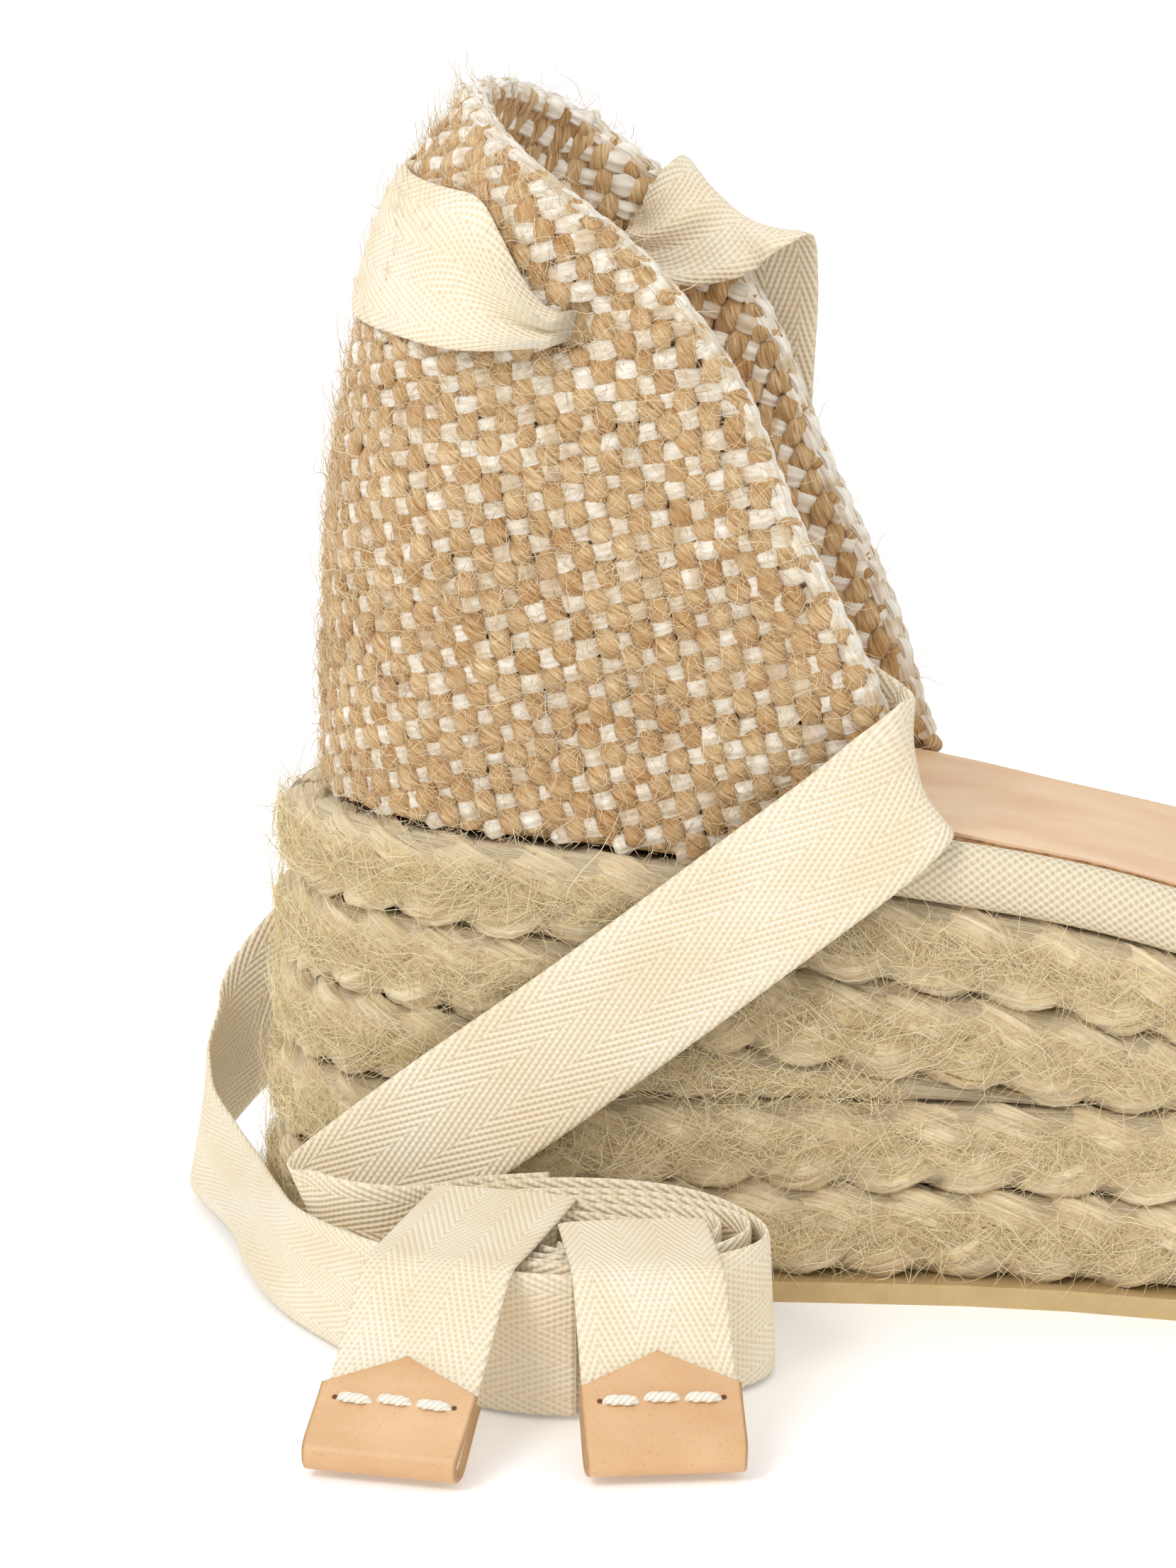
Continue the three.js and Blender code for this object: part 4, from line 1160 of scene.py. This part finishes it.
# Each row: a place on the tape's centre line, the direction across it, and its width.
NEAR_RUN = [
    [49.0, -24.2, 138.5, 0, 0, 1, 7],
    [51.5, -23.4, 133, 0.3, 0, 0.95, 9],
    [54, -23.3, 126, 0.5, 0, 0.87, 13],
    [60, -22.7, 111.5, 0.7, 0, 0.71, 18],
    [68.5, -21.1, 95, 0.75, 0, 0.66, 20],
    [77, -19.6, 83.5, 0.76, 0, 0.65, 20],
    [86.5, -20.2, 77, 0.5, -0.1, 0.86, 20],
    [92, -23.6, 75.4, 0, -0.1, 1, 20],
    [92.6, -28.2, 74.4, -0.33, 0, 0.94, 20],
    [87, -31, 69, -0.42, 0.06, 0.9, 20],
    [74, -33.4, 59, -0.55, 0.08, 0.83, 20],
    [51, -34.2, 41, -0.58, 0.08, 0.81, 20],
    [30, -35.4, 25.5, -0.58, 0.08, 0.81, 20],
    [18, -37.2, 17, -0.5, 0.08, 0.86, 19],
    [12.2, -40.5, 13.4, -0.2, 0.05, 0.97, 18],
    [13.5, -45, 12.4, 0, 0, 1, 18],
    [20, -48.5, 12.2, 0, 0, 1, 18],
    [27, -47.3, 11.2, 0, 0, 1, 19],
    [35, -41.6, 10.6, 0, 0, 1, 19.5],
    [44, -38.2, 10.4, 0, 0, 1, 19.5],
]
FAR_RUN = [
    [49.0, 24.2, 139, 0, 0, 1, 7],
    [52, 23.2, 138.6, -0.1, 0, 1, 11],
    [56, 22.8, 139.8, -0.35, 0, 0.94, 16],
    [60, 24.4, 141.6, -0.62, 0.1, 0.78, 19],
    [63.2, 27.8, 142.4, -0.8, 0.1, 0.6, 20],
    [65.2, 31.8, 139.4, -0.86, 0, 0.5, 20],
    [65.6, 33.6, 133.5, -0.95, 0, 0.3, 20],
    [65.4, 34.4, 124, -1, 0, 0, 20],
    [63.5, 35, 104, -0.97, -0.03, 0.2, 20],
    [56, 36, 82, -0.88, -0.05, 0.45, 20],
    [44, 37.2, 63, -0.72, -0.06, 0.68, 20],
    [28, 38.4, 48, -0.55, -0.1, 0.83, 20],
    [11, 31, 35.4, -0.1, -0.15, 0.97, 20],
    [1, 29.5, 28.5, 0, -0.1, 1, 20],
    [-6.5, 25, 19, 0.1, 0, 1, 20],
    [-10.8, 16, 12.5, 0.1, 0, 1, 19],
    [-10.8, 6, 9.8, 0.2, 0, 1, 16],
    [-6.5, -4, 8.6, 0.3, 0.1, 0.95, 13],
    [-1.5, -15, 8, 0.3, 0.1, 0.95, 12],
    [3, -29, 8, 0.3, 0.1, 0.95, 13],
    [9, -44, 8.4, 0.15, 0, 1, 15],
    [18, -58, 9.2, 0, 0, 1, 17],
    [26, -67.5, 9.8, 0, 0, 1, 18],
    [34, -75, 10.2, 0, 0, 1, 19.5],
    [44, -80, 10.4, 0, 0, 1, 19.5],
    [52, -80.8, 10.4, 0, 0, 1, 19.5],
]


def tape_coords(run):
    return coords_of(run, np.concatenate([ACROSS, ACROSS[::-1]]) * TAPE_WIDTH / 2)


def tape_rings(centre, across, width, folds=None):
    """Rings of a tape's section along its centre line. folds(t, v) moves it off its plane."""
    n = len(centre)
    sideways, normal = cross_axes(centre, across)
    t = np.linspace(0, 1, n)[:, None]
    lift = np.zeros((n, TAPE_ACROSS)) if folds is None else folds(t, ACROSS[None, :])
    flat = centre[:, None] + sideways[:, None] * (ACROSS[None, :, None] * width[:, None, None] / 2)
    top = flat + normal[:, None] * (lift + TAPE_HALF)[..., None]
    low = flat + normal[:, None] * (lift - TAPE_HALF)[..., None]
    return np.concatenate([top, low[:, ::-1]], 1), tape_coords(path_run(centre))


def tape_piece(name, skin, nodes, rides, length):
    made = settle(skin.make(name, TAPE), rides, nodes)


GATHER_REACH = 0.07  # share of a run over which it opens out from the slit


def gathered_folds(t, v):
    """Soft pleats that deepen towards the gathered end at t = 0."""
    tight = 1 - smooth(t, 0.0, GATHER_REACH)
    return tight * (0.9 * np.sin(v * 6.2 + 0.6) + 0.4 * np.sin(v * 12.0))


def side_tape(name, run_points, nodes):
    """The tape from a slit down inside the counter, over its edge and out to the coil."""
    rough = through(run_points, 200)
    dense = through(run_points, max(8, int(path_run(rough[:, :3])[-1] / TAPE_STEP)))
    skin = Skin().tube(*tape_rings(dense[:, :3], dense[:, 3:6], dense[:, 6], gathered_folds))
    length = path_run(through(run_points, 300)[:, :3])[-1]
    tape_piece(name, skin, nodes, WITH_COUNTER, length)


def back_wrap():
    """The tape round the back of the heel, gathered at each side into its slit."""
    t = np.linspace(-1, 1, 220)
    off = np.abs(t)
    gather = smooth(off, 0.5, 0.97)
    half = mix(TAPE_WIDTH / 2, 2.2, gather**1.4)
    middle = SLIT_Z + mix(4.5, -3.0, gather**1.2)
    z = middle[:, None] + half[:, None] * ACROSS[None, :]
    around = t * (SLIT_AROUND + 0.5)
    pleats = gather[:, None] * (1.3 * np.sin(ACROSS * 5.6 - 1.0) + 0.5 * np.sin(ACROSS * 11.0 + 0.4) + 1.3)
    cup = np.sin(np.clip((off - 0.42) / 0.56, 0, 1) * math.pi)[:, None]
    puff = cup * (1.9 - 1.2 * ACROSS**2 + 1.2 * smooth(-ACROSS, 0.3, 1.0))
    sink = smooth(off, 0.94, 1.0)[:, None]
    lift = mix(0.95 + np.maximum(pleats, -0.2) + puff, -COUNTER_THICKNESS / 2, sink)
    top = counter_point(around[:, None], z, -(lift + TAPE_HALF))
    low = counter_point(around[:, None], z, -(lift - TAPE_HALF))
    run = path_run(counter_point(around, middle, 0))
    skin = Skin().tube(np.concatenate([top, low[:, ::-1]], 1), tape_coords(run))
    tape_piece("tape_round_heel", skin, ["tape_back_wrap"], WITH_COUNTER, run[-1])


back_wrap()
side_tape("tape_outer_side", NEAR_RUN, ["tape_outer_side_inside", "tape_outer_side_fall"])
side_tape("tape_inner_side", FAR_RUN, ["tape_inner_side_inside", "tape_inner_side_fall", "tape_heel_loop"])

# ---- Coil of spare tape ---------------------------------------------------------------

COIL_CENTRE = (52.0, -59.0)
COIL_HALF = (25.4, 20.0)
COIL_LOW = 0.4
COIL_TURNS = 5
COIL_SHRINK = 0.7
COIL_STEP = 1.1
COIL_WIDTH = TAPE_WIDTH - 0.5


def coil_path():
    """A loose oval spiral, wound from its outer turn inwards."""
    turn = np.linspace(0, COIL_TURNS * TURN, 900)
    share = turn / turn[-1]
    shrink = (1 - COIL_SHRINK * share) * (1 + 0.02 * np.sin(3.3 * turn + 1) + 0.015 * np.sin(5.2 * turn))
    angle = -turn + math.radians(215)
    x = COIL_CENTRE[0] + 1.0 * share + COIL_HALF[0] * shrink * np.cos(angle)
    y = COIL_CENTRE[1] - 3.0 * share + COIL_HALF[1] * shrink * np.sin(angle)
    z = COIL_LOW + TAPE_WIDTH / 2 + 0.35 * np.sin(2 * turn) * share
    return np.column_stack([x, y, z])


def make_coil():
    centre = coil_path()
    count = int(path_run(centre)[-1] / COIL_STEP)
    centre = through(centre[::6], count)
    lean = 0.06 * np.sin(np.linspace(0, COIL_TURNS * TURN, count))
    across = unit(np.column_stack([lean, lean, np.ones(count)]))
    rings, coords = tape_rings(centre, across, np.full(count, COIL_WIDTH))
    rings[..., 2] = np.maximum(rings[..., 2], 0.25)
    length = path_run(centre)[-1]
    tape_piece("tape_coil", Skin().tube(rings, coords), ["tape_bundle"], "sole", length)


make_coil()

# ---- Tape ends and tips ---------------------------------------------------------------

BEND_HEIGHT = 21.0
BEND_FROM, BEND_TO = -3.0, 4.5  # along an end, where it starts and stops bending down
BEND_REACH = 4.0  # how far each side of the hinge lie the two places passed to settle(), which doesn't use them
TAPE_STOP = 1.6  # the tape stops this far short of its tip's fold
LEATHER = 1.0
ENDS = {
    "rear": {"bend": (34.0, -80.5), "turn": math.radians(-10), "reach": 33.0, "over": 31.0},
    "front": {"bend": (61.5, -80.5), "turn": math.radians(11), "reach": 30.0, "over": 20.0},
}
# where the far end of the tape rises out of the coil: further in than its last point, and up
OUT_OF_COIL = np.array([[-0.6, -9.0], [-1.6, -5.5], [-1.9, -3.0], [-0.9, -0.9]])
STITCHES = (0.18, -0.1, 0.12)  # how far each stitch lies off its row
STITCH_PITCH = 5.3
STITCH_HALF = 2.3
STITCH_ROW = 0.8 * TIP_SHOULDER  # back from the fold
STITCH_SIDES = 14


def end_slope(end):
    return math.asin((BEND_HEIGHT - 0.2 - TIP_THICKNESS / 2) / end["reach"])


def end_frame(end):
    """Maps (across, outward along the slope, off the slope) of an end to shoe coordinates."""
    cos, sin = math.cos(end["turn"]), math.sin(end["turn"])
    slope_cos, slope_sin = math.cos(end_slope(end)), math.sin(end_slope(end))

    def placed(across, outward, height):
        y = -outward * slope_cos - height * slope_sin
        z = -outward * slope_sin + height * slope_cos
        x, y = end["bend"][0] + across * cos - y * sin, end["bend"][1] + across * sin + y * cos
        return np.stack([x, y, BEND_HEIGHT + z], -1)

    return placed


def end_tape(name, end):
    """Tape lying over the coil, bending softly down to the tip."""
    stop = end["reach"] - TAPE_STOP
    over = np.linspace(-end["over"], BEND_FROM, 26)
    arc = np.linspace(BEND_FROM, BEND_TO, 12)[1:-1]
    run = np.concatenate([over, arc, np.linspace(BEND_TO, stop, 30)])
    slope = end_slope(end)
    angle = slope * smooth(run, BEND_FROM, BEND_TO)
    step = np.diff(run, prepend=run[0])
    y, z = np.cumsum(-step * np.cos(angle)), np.cumsum(-step * np.sin(angle))
    y += -stop * math.cos(slope) - y[-1]
    z += -stop * math.sin(slope) - z[-1]
    z += 0.35 * np.exp(-((run - 3.0) / 7.0) ** 2)
    y = np.concatenate([y[0] - OUT_OF_COIL[:, 0], y])
    z = np.concatenate([z[0] + OUT_OF_COIL[:, 1], z])
    cos, sin = math.cos(end["turn"]), math.sin(end["turn"])
    centre = np.column_stack([end["bend"][0] - y * sin, end["bend"][1] + y * cos, BEND_HEIGHT + z])
    centre = through(centre, int((run[-1] - run[0] + 9) / 0.7))
    across = np.tile([cos, sin, 0.0], (len(centre), 1))

    def cup(t, v):
        return 0.35 * (1 - v**2) * smooth(t, 0.3, 0.7) + 0.12 * np.sin(9 * t + 2 * v)

    skin = Skin().tube(*tape_rings(centre, across, np.full(len(centre), TAPE_WIDTH), cup))
    bend_at = put(np.array([*end["bend"], BEND_HEIGHT]))
    outward = np.array([sin, -cos, 0]) * MM * BEND_REACH
    rides = ("sole", f"{name}_end", tuple(bend_at - outward), tuple(bend_at + outward))
    nodes = [f"tape_{name}_end", f"tape_{name}_over"]
    tape_piece(f"tape_{name}_end_drape", skin, nodes, rides, path_run(centre)[-1])


def tip_half_width(back):
    """Half width of the tip leather at a distance back from its fold: a house with a roof."""
    past = np.maximum(back - TIP_SHOULDER, 0)
    return TIP_HALF_WIDTH * (1 - past / (TIP_LENGTH - TIP_SHOULDER))


def end_tip(name, end):
    """One strip of leather folded round the tape's end, cut to a point on both faces."""
    placed = end_frame(end)
    middle = TIP_THICKNESS / 2 - LEATHER / 2
    roof = np.linspace(TIP_LENGTH - 0.05, TIP_SHOULDER, 10)
    flat = np.concatenate([roof, np.linspace(TIP_SHOULDER, 2.0, 12)[1:]])
    bend = np.linspace(0, math.pi, 15)[1:-1]
    level = np.full(len(flat), middle)
    back = np.concatenate([flat, 2.0 - 1.7 * np.sin(bend), flat[::-1]])
    height = np.concatenate([level, middle * np.cos(bend), -level]) * (1 + 0.28 * smooth(back, 10, 2))
    run = path_run(np.column_stack([back, height]))
    half = np.maximum(tip_half_width(back), 0.15) * (1 - 0.02 * smooth(back, 3, 0))
    along = unit(np.column_stack([-np.gradient(back), np.gradient(height)]))
    facing = np.column_stack([-along[:, 1], along[:, 0]])
    v = np.concatenate([[-1, -0.985, -0.96], np.linspace(-0.9, 0.9, 19), [0.96, 0.985, 1]])
    round_off = np.array([0.35, 0.8, 0.97, *[1.0] * 19, 0.97, 0.8, 0.35]) * LEATHER / 2
    curl = 0.25 * (v**2 - 0.4) * smooth(back, 4, 14)[:, None] * -np.sign(height)[:, None]
    across = v * half[:, None]
    rings = []
    for lift in (round_off, -round_off):
        out = end["reach"] - back[:, None] + facing[:, :1] * lift
        rings.append(placed(across, out, height[:, None] + facing[:, 1:] * lift + curl))
    rings = np.concatenate([rings[0], rings[1][:, ::-1]], 1)
    rings[..., 2] = np.maximum(rings[..., 2], 0.15)
    skin = Skin().tube(rings, coords_of(run, np.concatenate([v, v[::-1]]) * TIP_HALF_WIDTH))
    settle(skin.make(f"{name}_tip_leather", TIP_LEATHER), f"{name}_end", [f"{name}_tip"])


def end_stitches(name, end):
    """Three flattened running stitches that dip into their needle holes."""
    placed = end_frame(end)
    s = np.linspace(-STITCH_HALF, STITCH_HALF, 18)
    share = np.abs(s) / STITCH_HALF
    rise = TIP_THICKNESS / 2 + 0.42 - 0.75 * smooth(share, 0.72, 1.0)
    fat = 0.64 * (1 - 0.35 * smooth(share, 0.5, 1.0))
    turn = np.linspace(0, TURN, STITCH_SIDES, endpoint=False)[None, :]
    ply = 1 + 0.1 * np.cos(2 * (turn + s[:, None] * 1.9))
    for i, off in enumerate(STITCHES):
        across, outward = (i - 1) * STITCH_PITCH + s, end["reach"] - STITCH_ROW + 0.05 * s + off
        path = placed(across, outward, rise)
        side = placed(across, outward, rise + 1) - path
        rings = yarn_rings(path, side, fat * 0.75, fat * 1.15, STITCH_SIDES, ply)
        skin = Skin().tube(rings, tube_coords(s, 3.2, STITCH_SIDES, i * 0.3))
        made = skin.make(f"{name}_tip_thread_{i + 1}", THREAD)
        settle(made, f"{name}_end", [f"{name}_tip_stitch_{i + 1}"])


for end_name, end_sizes in ENDS.items():
    end_tape(end_name, end_sizes)
    end_tip(end_name, end_sizes)
    end_stitches(end_name, end_sizes)

# ---- Footbed, rand and outsole --------------------------------------------------------


def sweep_rim(run, section):
    """A strip along the rim whose section is a list of (inset, height above the rope top)."""
    rings = []
    for inset, height in section:
        place, _ = along_rim(run, inset)
        rings.append(np.column_stack([place, rope_top(place[:, 0]) + height]))
    rings = np.stack(rings, 1)
    return rings, coords_of(path_run(rings[:, 0]), path_run(np.array(section)))


def make_rand(name, start, stop):
    """A padded canvas strip, rounded outside, that fills the step up to the leather."""
    turn = np.linspace(-0.5 * math.pi, 0.5 * math.pi, 17)
    middle, half = BED_THICKNESS / 2 - 0.2, BED_THICKNESS / 2 - 0.3
    outer = [(RAND_INNER - 0.9 - 2.9 * math.cos(a) ** 0.7, middle + half * math.sin(a)) for a in turn]
    inner = [(RAND_INNER - 0.2, middle + half - 0.2), (RAND_INNER - 0.2, middle - half + 0.2)]
    section = [*outer, *inner, (RAND_INNER - 0.6, middle - half)]
    skin = Skin().tube(*sweep_rim(np.linspace(start, stop, int(stop - start)), section))
    settle(skin.make(f"{name}_canvas", CANVAS), nodes=[name])


def make_raw_edge():
    """The leather's raw cut edge, brown, showing over the canvas."""
    low, high = BED_THICKNESS - 1.3, BED_THICKNESS - 0.45
    section = [(RAND_INNER + 0.9, low), (RAND_INNER - 0.35, low), (RAND_INNER - 0.45, high - 0.1),
               (RAND_INNER + 0.9, high)]
    back, front = COUNTER_LENGTH + 1, VAMP_BACK + 1
    skin = Skin()
    for side, first, last in (("outer", back, front), ("inner", front, back)):
        start, stop = rim_run_at(side, first), rim_run_at(side, last)
        skin.tube(*sweep_rim(np.linspace(start, stop, int((stop - start) / 0.8)), section))
    settle(skin.make("footbed_raw_edge", RAW_EDGE))


make_rand("rand_outer", rim_run_at("outer", COUNTER_LENGTH - 5), rim_run_at("outer", VAMP_BACK - 6))
make_rand("rand_inner", rim_run_at("inner", VAMP_BACK - 6), rim_run_at("inner", COUNTER_LENGTH + 2.5))
make_rand("rand_toe", rim_run_at("outer", VAMP_FRONT + 6), rim_run_at("inner", VAMP_FRONT + 6))
make_raw_edge()

DRESSED = {
    "outsole": rubber_material(),
    "wedge_core": grainy_material("wedge_core", (150, 130, 90), (110, 94, 62)),
    "insole_board": grainy_material("insole_board", (186, 160, 122), (150, 126, 92)),
    "footbed_foam": grainy_material("footbed_foam", (238, 228, 208), (214, 202, 180)),
    "leather_footbed": BED_LEATHER,
}
for node, material in DRESSED.items():
    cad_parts[node].data.materials.clear()
    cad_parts[node].data.materials.append(material)
